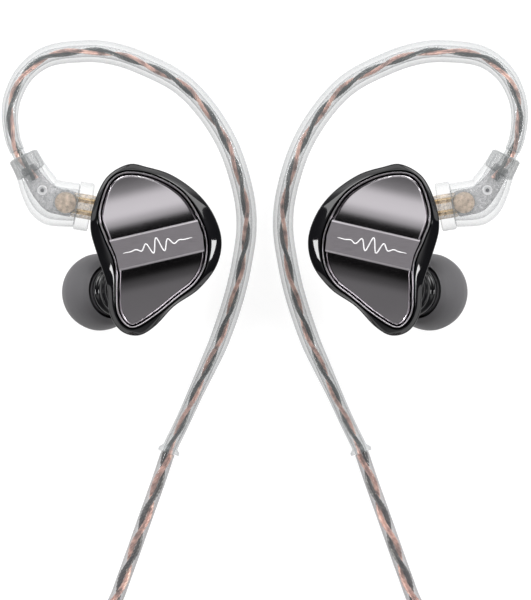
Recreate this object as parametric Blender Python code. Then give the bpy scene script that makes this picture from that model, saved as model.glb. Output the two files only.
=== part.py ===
"""In ear monitors with a detachable over-ear cable, lying face up on a table.

The left and the right earphone mirror each other in the plane X = 0. Plan sizes are given outward from
that plane, so one list serves both sides. All sizes here are in millimetres, and MM turns them into the
metres that the meshes hold. Z = 0 is the table.
"""

import math

import bmesh
import bpy
import numpy as np
from mathutils import Matrix, Vector

MM = 0.001
SIDES = {"left": -1, "right": 1}

# Clearances
GAP = 0.3  # between faces that seat on each other
FIT = 0.1  # round a pin in its bore

# Earphone shell: plan outline at its widest level, (outward, up)
SHELL_OUTLINE = [
    (20.4, 12.6), (23.6, 10.7), (25.5, 6.8), (26.05, 3.0), (24.95, -1.2), (23.6, -5.4), (23.2, -9.6),
    (21.5, -12.3), (18.9, -13.0), (16.4, -11.6), (13.5, -8.6), (9.9, -6.1), (7.2, -2.6), (6.45, 1.3),
    (7.7, 5.2), (10.2, 8.4), (13.9, 11.0), (17.6, 12.2),
]
SHELL_POINTS = 40
SHELL_CENTRE = (16.5, 0.5)
SHELL_DEPTH = 10.0  # from the widest level down to the back
SHELL_WALL = 1.2
RIM_HEIGHT = 1.85  # from the widest level up to the rim
RIM_BEVEL = 0.9
BACK_SHIFT = (3.5, -5.0)  # how far the back leans towards the ear canal

# Face plate, set into the rim
PLATE_OUTLINE = [
    (20.8, 11.5), (23.2, 10.1), (24.5, 7.0), (24.8, 4.2), (23.8, 1.3), (22.4, -2.2), (22.3, -6.0),
    (22.1, -9.4), (20.9, -11.4), (19.2, -11.8), (16.1, -9.9), (13.0, -7.4), (10.2, -5.1), (8.7, -2.0),
    (8.7, 2.0), (10.4, 6.0), (12.8, 8.9), (16.8, 11.0),
]
PLATE_THICKNESS = 1.3
PLATE_SUNK = 0.3  # top of the plate below the rim
BAND_WIDTH = 4.9
BAND_TILT = math.radians(13.0)
BAND_CENTRE = (16.0, 0.45)
BAND_HEIGHT = 0.6  # above the plate
BAND_INSET = 0.5
BAND_CHAMFER = 0.25
PLATE_LIP = 0.35
SEAT_LEDGE = 1.0  # under the plate's edge

# Sound nozzle and ear tip, on one slanted axis
NOZZLE_AXIS = (0.521, -0.050, -0.852)
NOZZLE_RADIUS = 2.55
NOZZLE_BORE = 1.95
NOZZLE_LIP = 0.2
NOZZLE_ROOT = -3.6  # along the axis from the ear tip's rear
TIP_REAR_PLAN = (22.8, -6.3)
TIP_RADIUS = 5.78
TIP_LENGTH = 8.9
TIP_STEM_WALL = 0.7
TIP_HOLE = 1.8
TIP_OVER_BACK = 0.9  # height of the ear tip's rear over the shell's back

# Dynamic driver
DRIVER_RADIUS = 5.0
DRIVER_HEIGHT = 3.5
DRIVER_CENTRE = (16.7, -0.9)
DRIVER_TOP = -1.95  # from the widest level
MAGNET_RADIUS = 2.5
COIL_RADIUS = 3.1

# Two-pin connector: its axis lies level and runs into the shell's side
PLUG_POINT = (25.95, 6.15)
PLUG_TILT = math.radians(9.5)
PLUG_BELOW_WIDEST = 3.45
PIN_RADIUS = 0.39
PIN_SPACING = 1.8
PIN_REACH = 4.6
PIN_ROOT = 3.0
CONTACT_WALL = 0.2
SOCKET_SIZE = (6.2, 4.8, 3.6)  # across, along the pins, high
SOCKET_START = 0.5

# Plug housing sections: (upper edge, lower edge, half thickness), from the shell outwards
COLLAR_HALF = 3.65
COLLAR_LENGTH = 2.3
PLUG_HALF_THICK = 2.5
PLUG_SECTIONS = [
    ((30.8, 10.3), (31.9, 3.4), 2.3),
    ((31.2, 10.7), (33.6, 4.0), 2.3),
    ((31.8, 11.4), (35.2, 5.5), 2.2),
    ((32.4, 12.2), (36.4, 8.0), 2.1),
    ((33.1, 13.2), (37.2, 10.7), 2.0),
    ((34.2, 15.0), (38.3, 13.0), 2.0),
]
CORE_WIDTH = 0.46  # of the housing's width
CORE_THICK = 0.5
CORE_DRIFT = 0.085  # towards the outer edge at each section past the elbow, as a share of the half width
ELBOW_STATION = 5

# Ear hook: route from the plug to its free end, with its height as a share of the plug's
HOOK_ROUTE = [
    (37.05, 14.6, 1.00), (37.75, 16.6, 1.00), (38.15, 19.9, 0.98), (37.6, 23.1, 0.96), (35.7, 26.5, 0.93),
    (32.2, 28.9, 0.89), (26.8, 29.6, 0.82), (22.8, 29.25, 0.76), (18.6, 27.9, 0.69), (12.9, 25.0, 0.58),
    (8.8, 20.9, 0.48), (5.4, 15.3, 0.38), (3.3, 8.7, 0.29), (2.75, 3.4, 0.23), (3.4, -1.8, 0.18),
    (4.6, -7.1, 0.13), (6.7, -13.4, 0.08), (8.5, -17.5, 0.05), (10.4, -21.6, 0.03), (12.2, -25.6, 0.01),
    (14.1, -29.5, 0.0), (14.55, -30.7, 0.0),
]
HOOK_END_HEIGHT = 1.6
HOOK_RADII = [(0.0, 1.12), (0.12, 1.45), (0.25, 1.7), (0.6, 1.55), (0.8, 1.5), (0.91, 1.15), (1.0, 1.12)]
HOOK_FLANGE = 0.25
HOOK_STEP = 3.4
HOOK_SIDES = 8
WIRES_RADIUS = 0.65
WIRES_START = (36.0, 12.6)

# Cords
BRANCH_RADIUS = 1.05
MAIN_RADIUS = 1.25
CORD_SEGMENT = 4.2
BRANCH_ROUTE = [
    (14.8, -31.3, 1.5), (15.9, -34.6, 1.25), (17.2, -38.25, 1.1), (18.5, -41.9, 1.1),
    (19.8, -45.6, 1.1), (21.1, -49.2, 1.1), (22.5, -52.9, 1.1), (24.4, -56.0, 1.1),
    (27.6, -58.4, 1.1), (31.6, -60.2, 1.1),
]
LEAD_ROUTE = [
    (12.25, -65.6, 3.1), (11.9, -63.4, 2.4), (10.5, -60.6, 1.6), (7.9, -58.9, 1.2), (4.8, -59.4, 1.3),
    (2.6, -62.0, 1.8), (1.8, -65.6, 2.4), (1.8, -74.0, 2.4), (1.8, -83.0, 2.4), (1.8, -93.6, 2.4),
]
MAIN_ROUTE = [
    (0.0, -101.0, 2.6), (0.0, -105.6, 2.3), (1.4, -108.2, 1.8), (4.6, -110.4, 1.4), (9.6, -112.9, 1.35),
    (13.6, -116.0, 1.35),
]
JACK_ROUTE = [
    (-10.2, -150.9, 2.9), (-14.4, -150.1, 2.0), (-19.2, -148.0, 1.45), (-23.6, -144.4, 1.55),
    (-26.7, -139.8, 2.4), (-28.0, -134.6, 3.5), (-28.0, -131.0, 3.6),
]

# Coils of stored cord: centre, mean radius, turns side by side (a part of one where the cord climbs), layers
BRANCH_COIL = ((24.6, -74.0), 11.29, 2.25, 2)
MAIN_COIL = ((0.0, -132.0), 12.6, 5.5, 2)
TIE_WIDTH = 4.5
TIE_WALL = 0.7

# Chin slider and Y-splitter, on the straight run of the two branches
BRANCH_SPREAD = 1.8
RUN_HEIGHT = 2.4
SLIDER_SIZE = (7.8, 8.0, 4.8)
SLIDER_REST = -90.6  # its lower end
SPLITTER_TOP = -91.4
SPLITTER_LENGTH = 12.6
SPLITTER_WIDTHS = (8.6, 5.2)
SPLITTER_THICK = (5.2, 4.6)
SOCKET_DEPTH = 2.9
SLIDER_CROWN = 1.04  # how much wider its middle is than its ends

# Headphone jack, lying along Y
JACK_PLACE = (-28.0, -134.4)
JACK_HOUSING_RADIUS = 3.6
JACK_HOUSING_LENGTH = 19.0
JACK_RELIEF_LENGTH = 10.0
JACK_RADIUS = 1.75
JACK_LENGTH = 14.0
JACK_CORE = 0.9


# ---------------------------------------------------------------- curves and frames


def spline(points, closed, samples=24):
    """A smooth curve through the points, as many closely spaced points."""
    p = np.array(points, float)
    if closed:
        p = np.vstack([p[-1], p, p[0], p[1]])
    else:
        p = np.vstack([2 * p[0] - p[1], p, 2 * p[-1] - p[-2]])
    t = np.linspace(0, 1, samples, endpoint=False)[:, None]
    parts = []
    for a, b, c, d in zip(p, p[1:], p[2:], p[3:]):
        parts.append(
            0.5 * (2 * b + (c - a) * t + (2 * a - 5 * b + 4 * c - d) * t**2 + (3 * b - a - 3 * c + d) * t**3)
        )
    if not closed:
        parts.append(p[-2][None, :])
    return np.vstack(parts)


def even(curve, count, closed):
    """The curve at count evenly spaced points."""
    if closed:
        curve = np.vstack([curve, curve[0]])
    far = np.concatenate([[0.0], np.cumsum(np.linalg.norm(np.diff(curve, axis=0), axis=1))])
    at = np.linspace(0, far[-1], count, endpoint=not closed)
    return np.column_stack([np.interp(at, far, curve[:, k]) for k in range(curve.shape[1])])


def route_points(route, step):
    """Evenly spaced points along a smooth curve through a route."""
    curve = spline(route, closed=False)
    length = np.linalg.norm(np.diff(curve, axis=0), axis=1).sum()
    return even(curve, max(3, round(length / step) + 1), closed=False)


def grown(outline, distance):
    """A closed outline moved outwards by a distance, or inwards by a negative one."""
    tangent = np.roll(outline, -1, axis=0) - np.roll(outline, 1, axis=0)
    tangent /= np.linalg.norm(tangent, axis=1)[:, None]
    normal = np.column_stack([tangent[:, 1], -tangent[:, 0]])
    centre = outline.mean(axis=0)
    if ((outline - centre) * normal).sum() < 0:
        normal = -normal
    return outline + distance * normal


def unit(vector):
    return Vector(vector).normalized()


# ---------------------------------------------------------------- heights over the table


def tip_profile():
    """The outside of the ear tip as (radius, distance from its rear), rear first."""
    shares = [(0.84, 0.0), (0.94, 0.16), (0.995, 0.34), (1.0, 0.42), (0.985, 0.53), (0.91, 0.68)]
    shares += [(0.78, 0.82), (0.6, 0.93), (0.45, 0.99), (0.37, 1.0)]
    return [(r * TIP_RADIUS, s * TIP_LENGTH) for r, s in shares]


AXIS = unit(NOZZLE_AXIS)
TIP_REACH = max(-s * AXIS.z + r * math.sqrt(1 - AXIS.z**2) for r, s in tip_profile())
WIDEST = TIP_REACH + SHELL_DEPTH - TIP_OVER_BACK
RIM = WIDEST + RIM_HEIGHT
PLATE_TOP = RIM - PLATE_SUNK
PLUG_HEIGHT = WIDEST - PLUG_BELOW_WIDEST
TIP_REAR = Vector((*TIP_REAR_PLAN, TIP_REACH))
PLUG_IN = Vector((-math.cos(PLUG_TILT), -math.sin(PLUG_TILT), 0))
PLUG_ACROSS = Vector((math.sin(PLUG_TILT), -math.cos(PLUG_TILT), 0))
PLUG_ORIGIN = Vector((*PLUG_POINT, PLUG_HEIGHT))


# ---------------------------------------------------------------- building tools


def start_clean():
    for obj in list(bpy.data.objects):
        bpy.data.objects.remove(obj, do_unlink=True)


def material(name, colour, roughness, metallic=0.0, alpha=1.0):
    made = bpy.data.materials.get(name)
    if made:
        return made
    made = bpy.data.materials.new(name)
    made.use_nodes = True
    shader = made.node_tree.nodes["Principled BSDF"]
    shader.inputs["Base Color"].default_value = (*colour, 1)
    shader.inputs["Roughness"].default_value = roughness
    shader.inputs["Metallic"].default_value = metallic
    shader.inputs["Alpha"].default_value = alpha
    made.diffuse_color = (*colour, alpha)
    return made


def gloss_black():
    return material("gloss_black", (0.008, 0.008, 0.01), 0.08)


def gunmetal():
    return material("gunmetal", (0.28, 0.26, 0.28), 0.12, 1.0)


def grey_silicone():
    return material("grey_silicone", (0.16, 0.155, 0.165), 0.4)


def clear_plastic():
    return material("clear_plastic", (0.9, 0.92, 0.92), 0.1, 0.0, 0.35)


def grey_core():
    return material("grey_core", (0.45, 0.44, 0.45), 0.4)


def gold():
    return material("gold", (0.8, 0.58, 0.28), 0.2, 1.0)


def steel():
    return material("steel", (0.6, 0.6, 0.61), 0.25, 1.0)


def dark_magnet():
    return material("dark_magnet", (0.2, 0.2, 0.21), 0.45, 1.0)


def copper():
    return material("copper", (0.75, 0.42, 0.33), 0.3, 1.0)


def film():
    return material("film", (0.5, 0.42, 0.3), 0.35)


def black_plastic():
    return material("black_plastic", (0.02, 0.02, 0.022), 0.45)


def finish(bm, name, finish_material):
    """Turn a bmesh into a smooth-shaded object."""
    bmesh.ops.remove_doubles(bm, verts=bm.verts, dist=0.000001)
    bmesh.ops.recalc_face_normals(bm, faces=bm.faces)
    mesh = bpy.data.meshes.new(name)
    bm.to_mesh(mesh)
    bm.free()
    mesh.shade_smooth()
    mesh.set_sharp_from_angle(angle=math.radians(35))
    mesh.materials.append(finish_material)
    obj = bpy.data.objects.new(name, mesh)
    bpy.context.scene.collection.objects.link(obj)
    return obj


def loft(name, rings, finish_material, side=1, hollow=False):
    """A skin over rings of points. A hollow one joins its last ring to its first, and others get caps."""
    bm = bmesh.new()
    rows = [[bm.verts.new((side * p[0] * MM, p[1] * MM, p[2] * MM)) for p in ring] for ring in rings]
    pairs = list(zip(rows, rows[1:]))
    if hollow:
        pairs.append((rows[-1], rows[0]))
    else:
        bm.faces.new(rows[0])
        bm.faces.new(rows[-1])
    for first, second in pairs:
        for k in range(len(first)):
            after = (k + 1) % len(first)
            bm.faces.new((first[k], first[after], second[after], second[k]))
    return finish(bm, name, finish_material)


def turned(name, profile, finish_material, origin, axis, side=1, closed=False, segments=20):
    """A profile of (radius, distance along the axis) spun round the axis."""
    bm = bmesh.new()
    verts = [bm.verts.new((r * MM, 0, d * MM)) for r, d in profile]
    edges = [bm.edges.new(pair) for pair in zip(verts, verts[1:])]
    if closed:
        edges.append(bm.edges.new((verts[-1], verts[0])))
    bmesh.ops.spin(
        bm, geom=verts + edges, cent=(0, 0, 0), axis=(0, 0, 1), angle=math.tau, steps=segments, use_merge=True
    )
    obj = finish(bm, name, finish_material)
    obj.location = Vector((side * origin[0], origin[1], origin[2])) * MM
    obj.rotation_mode = "QUATERNION"
    obj.rotation_quaternion = Vector((side * axis[0], axis[1], axis[2])).to_track_quat("Z", "Y")
    return obj


def ring_profile(inner, outer, low, high, round_by=0.0):
    """A closed ring section with rounded or square corners."""
    b = round_by
    if not b:
        return [(outer, low), (outer, high), (inner, high), (inner, low)]
    return [
        (outer - b, low), (outer, low + b), (outer, high - b), (outer - b, high),
        (inner + b, high), (inner, high - b), (inner, low + b), (inner + b, low),
    ]


def disc_profile(radius, low, high):
    return [(0, low), (radius, low), (radius, high), (0, high)]


def helper(obj):
    obj.hide_render = True
    obj.display_type = "WIRE"
    return obj


def cut(obj, cutters):
    """Cut each cutter out of an object."""
    for number, cutter in enumerate(cutters):
        modifier = obj.modifiers.new(f"cut_{number}", "BOOLEAN")
        modifier.operation = "DIFFERENCE"
        modifier.solver = "EXACT"
        modifier.object = helper(cutter)


def rod(name, radius, origin, axis, low, high, side=1, segments=20, finish_material=None):
    """A plain round rod from low to high along an axis."""
    profile = disc_profile(radius, low, high)
    return turned(name, profile, finish_material or steel(), origin, axis, side, segments=segments)


def ride_on(pieces, name, origin):
    """Parent pieces to an empty that stands on their joint's axis."""
    empty = bpy.data.objects.new(name, None)
    empty.empty_display_size = 0.004
    empty.location = Vector(origin) * MM
    bpy.context.scene.collection.objects.link(empty)
    for piece in pieces:
        piece.parent = empty
        piece.matrix_parent_inverse = Matrix.Translation(empty.location).inverted()
    return empty


def rounded_section(centre, across, half_width, half_thick, count=12, power=2.6):
    """A rounded rectangle across a level path: across lies in the plan, and Z is the other way."""
    ring = []
    for k in range(count):
        angle = math.tau * k / count
        u = math.copysign(abs(math.cos(angle)) ** (2 / power), math.cos(angle))
        v = math.copysign(abs(math.sin(angle)) ** (2 / power), math.sin(angle))
        point = Vector(centre) + Vector(across) * (u * half_width)
        ring.append((point.x, point.y, point.z + v * half_thick))
    return ring


# ---------------------------------------------------------------- earphone


def shell_ring(depth, wall):
    """The shell's outline at a share of its depth below the widest level, less a wall."""
    outline = even(spline(SHELL_OUTLINE, closed=True), SHELL_POINTS, closed=True)
    centre = np.array(SHELL_CENTRE)
    lean = np.array(BACK_SHIFT) * depth**2
    size = math.sqrt(1 - depth**2)
    ring = centre + lean + size * (outline - centre)
    if wall:
        ring = grown(ring, -wall)
    z = WIDEST - depth * SHELL_DEPTH
    return [(x, y, z) for x, y in ring]


def level(outline, z):
    return [(x, y, z) for x, y in outline]


def shell(side_name, side):
    outline = even(spline(SHELL_OUTLINE, closed=True), SHELL_POINTS, closed=True)
    seat = grown(even(spline(PLATE_OUTLINE, closed=True), SHELL_POINTS, closed=True), GAP)
    seat_floor = PLATE_TOP - PLATE_THICKNESS - GAP
    opening = grown(seat, -SEAT_LEDGE)
    rings = [shell_ring(d, 0) for d in (0.97, 0.9, 0.8, 0.65, 0.45, 0.22)]
    rings.append(level(outline, WIDEST))
    rings.append(level(outline, RIM - RIM_BEVEL))
    rings.append(level(grown(outline, -0.35 * RIM_BEVEL), RIM - 0.2 * RIM_BEVEL))
    rings.append(level(seat, RIM))
    rings.append(level(seat, seat_floor))
    rings.append(level(opening, seat_floor))
    inner_top = [(x, y, z - SHELL_WALL) for x, y, z in level(opening, seat_floor)]
    rings.append(inner_top)
    reach = 1 - SHELL_WALL / SHELL_DEPTH
    for depth in (0.45, 0.65, 0.8, 0.9):
        rings.append(shell_ring(depth * reach, SHELL_WALL))
    made = loft(f"{side_name}_shell", rings, gloss_black(), side)
    nozzle_hole = rod(
        f"{side_name}_nozzle_cutter", NOZZLE_RADIUS + GAP, TIP_REAR, AXIS, NOZZLE_ROOT - 3, 1.5, side, 20
    )
    cut(made, [nozzle_hole, socket_box(f"{side_name}_socket_cutter", side, GAP, through=1.2)])
    return made


def clipped(outline, normal, offset):
    """The part of a convex-ish outline on the near side of a line."""
    kept = []
    for first, second in zip(outline, np.roll(outline, -1, axis=0)):
        a, b = first @ normal - offset, second @ normal - offset
        if a <= 0:
            kept.append(first)
        if a * b < 0:
            kept.append(first + (second - first) * (a / (a - b)))
    return np.array(kept)


def face_plate(side_name, side):
    outline = even(spline(PLATE_OUTLINE, closed=True), SHELL_POINTS, closed=True)
    low, high = PLATE_TOP - PLATE_THICKNESS, PLATE_TOP
    lip = PLATE_LIP
    rings = [
        level(outline, low), level(outline, high - lip), level(grown(outline, -lip), high),
        level(grown(outline, -2 * lip), high), level(grown(outline, -2.6 * lip), high - lip),
    ]
    plate = loft(f"{side_name}_face_plate", rings, gunmetal(), side)
    normal = np.array((math.sin(BAND_TILT), math.cos(BAND_TILT)))
    middle = np.array(BAND_CENTRE) @ normal
    band = clipped(grown(outline, -BAND_INSET), normal, middle + BAND_WIDTH / 2)
    band = clipped(band, -normal, BAND_WIDTH / 2 - middle)
    inset = grown(band, -BAND_CHAMFER)
    top = high + BAND_HEIGHT
    band_rings = [
        level(band, low + PLATE_LIP), level(band, top - BAND_CHAMFER), level(inset, top),
    ]
    bar = loft(f"{side_name}_band", band_rings, gunmetal(), side)
    join = plate.modifiers.new("band", "BOOLEAN")
    join.operation = "UNION"
    join.solver = "EXACT"
    join.object = helper(bar)
    return plate


def nozzle(side_name, side):
    bore, outside, lip = NOZZLE_BORE, NOZZLE_RADIUS, NOZZLE_RADIUS + NOZZLE_LIP
    end = TIP_LENGTH - 1.6
    profile = [
        (outside, NOZZLE_ROOT), (outside, end - 1.0), (lip, end - 0.7), (lip, end - 0.2), (lip - 0.2, end),
        (bore, end), (bore, NOZZLE_ROOT),
    ]
    return turned(f"{side_name}_nozzle", profile, gunmetal(), TIP_REAR, AXIS, side, closed=True)


def nozzle_mesh(side_name, side):
    end = TIP_LENGTH - 1.9
    profile = disc_profile(NOZZLE_BORE - GAP, end - 0.35, end)
    return turned(f"{side_name}_nozzle_mesh", profile, steel(), TIP_REAR, AXIS, side)


def ear_tip(side_name, side):
    bore = NOZZLE_RADIUS + NOZZLE_LIP + GAP
    stem = bore + TIP_STEM_WALL
    outside = tip_profile()
    front = TIP_LENGTH - 1.3
    skirt = TIP_RADIUS - 0.75
    inside = [
        (TIP_HOLE, TIP_LENGTH - 0.4), (TIP_HOLE, front), (bore, front), (bore, 0.4), (stem, 0.4),
        (stem, 0.55 * TIP_LENGTH), (skirt - 0.35, 0.58 * TIP_LENGTH), (skirt, 0.42 * TIP_LENGTH),
        (skirt - 0.1, 0.2 * TIP_LENGTH), (0.84 * TIP_RADIUS - 0.3, 0.02 * TIP_LENGTH),
    ]
    profile = outside + inside
    return turned(f"{side_name}_ear_tip", profile, grey_silicone(), TIP_REAR, AXIS, side, closed=True)


def driver(side_name, side):
    """Driver frame, magnet, voice coil and diaphragm, stacked face down."""
    top = Vector((*DRIVER_CENTRE, WIDEST + DRIVER_TOP))
    down = Vector((0, 0, -1))
    wall = 0.5
    cup = DRIVER_RADIUS - wall
    frame = [
        (DRIVER_RADIUS, 0), (DRIVER_RADIUS, DRIVER_HEIGHT), (cup, DRIVER_HEIGHT), (cup, wall), (0.8, wall),
        (0.8, 0),
    ]
    diaphragm_at = DRIVER_HEIGHT - 0.6
    dome = [
        (0, diaphragm_at - 0.1), (1.4, diaphragm_at), (cup - GAP, diaphragm_at + 0.1),
        (cup - GAP, diaphragm_at + 0.3), (1.4, diaphragm_at + 0.2), (0, diaphragm_at + 0.1),
    ]
    magnet = disc_profile(MAGNET_RADIUS, wall + GAP, wall + GAP + 1.4)
    coil = ring_profile(COIL_RADIUS - 0.25, COIL_RADIUS + 0.25, wall + GAP + 0.3, diaphragm_at - GAP)
    return [
        turned(f"{side_name}_driver_frame", frame[::-1], steel(), top, down, side, closed=True),
        turned(f"{side_name}_driver_magnet", magnet, dark_magnet(), top, down, side, segments=20),
        turned(f"{side_name}_voice_coil", coil, copper(), top, down, side, closed=True, segments=20),
        turned(f"{side_name}_diaphragm", dome, film(), top, down, side, segments=20),
    ]


def plug_point(along, across=0.0, up=0.0):
    """A point in the connector's own frame: along the pins, across them, and up."""
    return PLUG_ORIGIN + along * PLUG_IN + across * PLUG_ACROSS + Vector((0, 0, up))


def socket_box(name, side, extra, through=0.0):
    """The socket block's box, grown by extra all round and by through along the pins."""
    wide, deep, high = SOCKET_SIZE
    rings = []
    for along in (SOCKET_START - extra - through, SOCKET_START + deep + extra):
        corners = ((-1, -1), (1, -1), (1, 1), (-1, 1))
        rings.append(
            [plug_point(along, u * (wide / 2 + extra), v * (high / 2 + extra)) for u, v in corners]
        )
    return loft(name, rings, black_plastic(), side)


def pin_origins():
    return {"upper": plug_point(0, -PIN_SPACING / 2), "lower": plug_point(0, PIN_SPACING / 2)}


def socket(side_name, side):
    """The socket block and its two contact tubes."""
    block = socket_box(f"{side_name}_socket_block", side, 0)
    start, deep = SOCKET_START, SOCKET_SIZE[1]
    bore = PIN_RADIUS + FIT
    outside = bore + CONTACT_WALL
    pieces, cutters = [block], []
    for place, origin in pin_origins().items():
        profile = ring_profile(bore, outside, start + 0.2, start + deep - 0.2)
        name = f"{side_name}_socket_contact_{place}"
        pieces.append(turned(name, profile, gold(), origin, PLUG_IN, side, closed=True, segments=12))
        name = f"{side_name}_{place}_contact_cutter"
        cutters.append(rod(name, outside + FIT, origin, PLUG_IN, start - 1, start + deep + 1, side, 12))
    cut(block, cutters)
    return pieces


def wire(name, points, radius, finish_material, side, resolution=2):
    """A round wire or cord as a curve with filled ends."""
    curve = bpy.data.curves.new(name, "CURVE")
    curve.dimensions = "3D"
    curve.bevel_depth = radius * MM
    curve.bevel_resolution = resolution
    curve.use_fill_caps = True
    curve.resolution_u = 1
    curve.render_resolution_u = 0
    line = curve.splines.new("POLY")
    line.points.add(len(points) - 1)
    for knot, (x, y, z) in zip(line.points, points):
        knot.co = (side * x * MM, y * MM, z * MM, 1)
    curve.materials.append(finish_material)
    obj = bpy.data.objects.new(name, curve)
    bpy.context.scene.collection.objects.link(obj)
    return obj


def driver_lead(side_name, side):
    """The wire pair from the driver's back to the socket's tails."""
    end = plug_point(SOCKET_START + SOCKET_SIZE[1] + GAP, 0, 0)
    top = WIDEST + DRIVER_TOP
    route = [
        (DRIVER_CENTRE[0] + 2.2, DRIVER_CENTRE[1] + 1.6, top + 0.55),
        (DRIVER_CENTRE[0] + 2.3, DRIVER_CENTRE[1] + 3.6, top + 0.75),
        (end.x - 1.3, end.y - 0.9, top + 0.4), (end.x - 0.5, end.y - 0.1, end.z + 0.4), tuple(end),
    ]
    return wire(f"{side_name}_driver_lead", route_points(route, 1.2), 0.25, copper(), side, 1)


# ---------------------------------------------------------------- plug and ear hook


def plug_stations():
    """The plug housing's sections as (centre, across, half width, half thickness)."""
    stations = [
        (plug_point(0), PLUG_ACROSS, COLLAR_HALF, PLUG_HALF_THICK),
        (plug_point(-COLLAR_LENGTH), PLUG_ACROSS, COLLAR_HALF, PLUG_HALF_THICK),
        (plug_point(-COLLAR_LENGTH - 0.25), PLUG_ACROSS, COLLAR_HALF - 0.3, PLUG_HALF_THICK - 0.2),
    ]
    for upper, lower, half_thick in PLUG_SECTIONS:
        a, b = Vector((*upper, PLUG_HEIGHT)), Vector((*lower, PLUG_HEIGHT))
        stations.append(((a + b) / 2, (b - a).normalized(), (b - a).length / 2, half_thick))
    return stations


def core_stations(extra):
    """The moulded core's sections, grown by extra all round. The core nears the outer edge along the arm."""
    stations = []
    for number, (centre, across, half_width, half_thick) in enumerate(plug_stations()):
        shift = CORE_DRIFT * max(0, number - ELBOW_STATION) * half_width
        wide, thick = CORE_WIDTH * half_width + extra, CORE_THICK * half_thick + extra
        stations.append((centre + shift * across, across, wide, thick))
    return stations


def plug_housing(side_name, side):
    outer = [rounded_section(*station) for station in plug_stations()]
    inner = [rounded_section(*station) for station in core_stations(GAP)]
    return loft(f"{side_name}_plug_housing", outer + inner[::-1], clear_plastic(), side, hollow=True)


def plug_core(side_name, side):
    stations = core_stations(0)[:-2]
    centre, across, half_width, half_thick = stations[0]
    stations[0] = (plug_point(-0.6), across, half_width, half_thick)
    made = loft(f"{side_name}_plug_core", [rounded_section(*s) for s in stations], grey_core(), side)
    cutters = []
    for place, origin in pin_origins().items():
        name = f"{side_name}_{place}_pin_cutter"
        cutters.append(rod(name, PIN_RADIUS + FIT, origin, PLUG_IN, -PIN_ROOT - GAP, 1, side, 12))
    cut(made, cutters)
    return made


def pins(side_name, side):
    made = []
    for place, origin in pin_origins().items():
        profile = [
            (0, -PIN_ROOT), (PIN_RADIUS, -PIN_ROOT), (PIN_RADIUS, PIN_REACH - 0.3),
            (PIN_RADIUS - 0.2, PIN_REACH), (0, PIN_REACH),
        ]
        made.append(
            turned(f"{side_name}_pin_{place}", profile, gold(), origin, PLUG_IN, side, segments=12)
        )
    return made


def hook_points():
    """The ear hook's centreline, evenly spaced, from the plug to its free end."""
    drop = PLUG_HEIGHT - HOOK_END_HEIGHT
    route = [(x, y, HOOK_END_HEIGHT + share * drop) for x, y, share in HOOK_ROUTE]
    return route_points(route, HOOK_STEP)


def tube_rings(points, radii, sides):
    """Round sections along a path, turned without twist."""
    rings = []
    points = [Vector(p) for p in points]
    across = None
    for k, point in enumerate(points):
        ahead = (points[min(k + 1, len(points) - 1)] - points[max(k - 1, 0)]).normalized()
        if across is None:
            across = ahead.cross(Vector((0, 0, 1))).normalized()
        across = (across - ahead * across.dot(ahead)).normalized()
        other = ahead.cross(across)
        angles = [math.tau * n / sides for n in range(sides)]
        rings.append(
            [point + float(radii[k]) * (math.cos(a) * across + math.sin(a) * other) for a in angles]
        )
    return rings


def hook_sleeve(side_name, side):
    points = hook_points()
    shares = np.linspace(0, 1, len(points))
    radii = np.interp(shares, *zip(*HOOK_RADII))
    bore = WIRES_RADIUS + GAP
    end = Vector(points[-1])
    back = (Vector(points[-2]) - end).normalized()
    flange = [end + back * 0.7, end + back * 0.65, end]
    outer_points = [Vector(p) for p in points[:-1]] + flange
    outer_radii = [*radii[:-1], radii[-1], radii[-1] + HOOK_FLANGE, radii[-1] + HOOK_FLANGE]
    outer = tube_rings(outer_points, outer_radii, HOOK_SIDES)
    inner = tube_rings(outer_points, [bore] * len(outer_points), HOOK_SIDES)
    return loft(f"{side_name}_hook_sleeve", outer + inner[::-1], clear_plastic(), side, hollow=True)


def hook_wires(side_name, side):
    start = Vector((*WIRES_START, PLUG_HEIGHT))
    route = [tuple(start)] + [tuple(p) for p in hook_points()]
    points = route_points(route, HOOK_STEP)
    return wire(f"{side_name}_hook_wires", points, WIRES_RADIUS, copper(), side, 1)


# ---------------------------------------------------------------- cords, coils and what is on them


def coil_section(coil, radius):
    """Inner radius, outer radius and height of a coil of a cord of this radius."""
    _, mean, beside, on_top = coil
    return mean - beside * radius, mean + beside * radius, 2 * radius * on_top


def coil_ring(name, coil, radius, side=1):
    inner, outer, high = coil_section(coil, radius)
    centre = (*coil[0], 0)
    profile = ring_profile(inner, outer, 0, high, 0.35 * radius)
    return turned(name, profile, clear_plastic(), centre, (0, 0, 1), side, closed=True, segments=28)


def coil_tie(name, coil, radius, angle, side=1):
    """A band over a coil, open underneath, where the coil lies on the table."""
    inner, outer, high = coil_section(coil, radius)
    bow = TIE_WIDTH**2 / (8 * inner)
    reach, top = (outer - inner) / 2 + bow + GAP, high + GAP
    middle = (outer + inner) / 2
    out = Vector((math.cos(angle), math.sin(angle), 0))
    along = Vector((-math.sin(angle), math.cos(angle), 0))
    wall = TIE_WALL
    section = [
        (-reach - wall, 0.1), (-reach - wall, top), (-reach, top + wall), (reach, top + wall),
        (reach + wall, top), (reach + wall, 0.1), (reach, 0.1), (reach, top), (-reach, top), (-reach, 0.1),
    ]
    centre = Vector((*coil[0], 0)) + middle * out
    rings = []
    for share in (-0.5, 0.5):
        base = centre + along * share * TIE_WIDTH
        rings.append([base + out * u + Vector((0, 0, z)) for u, z in section])
    return loft(name, rings, black_plastic(), side)


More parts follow.
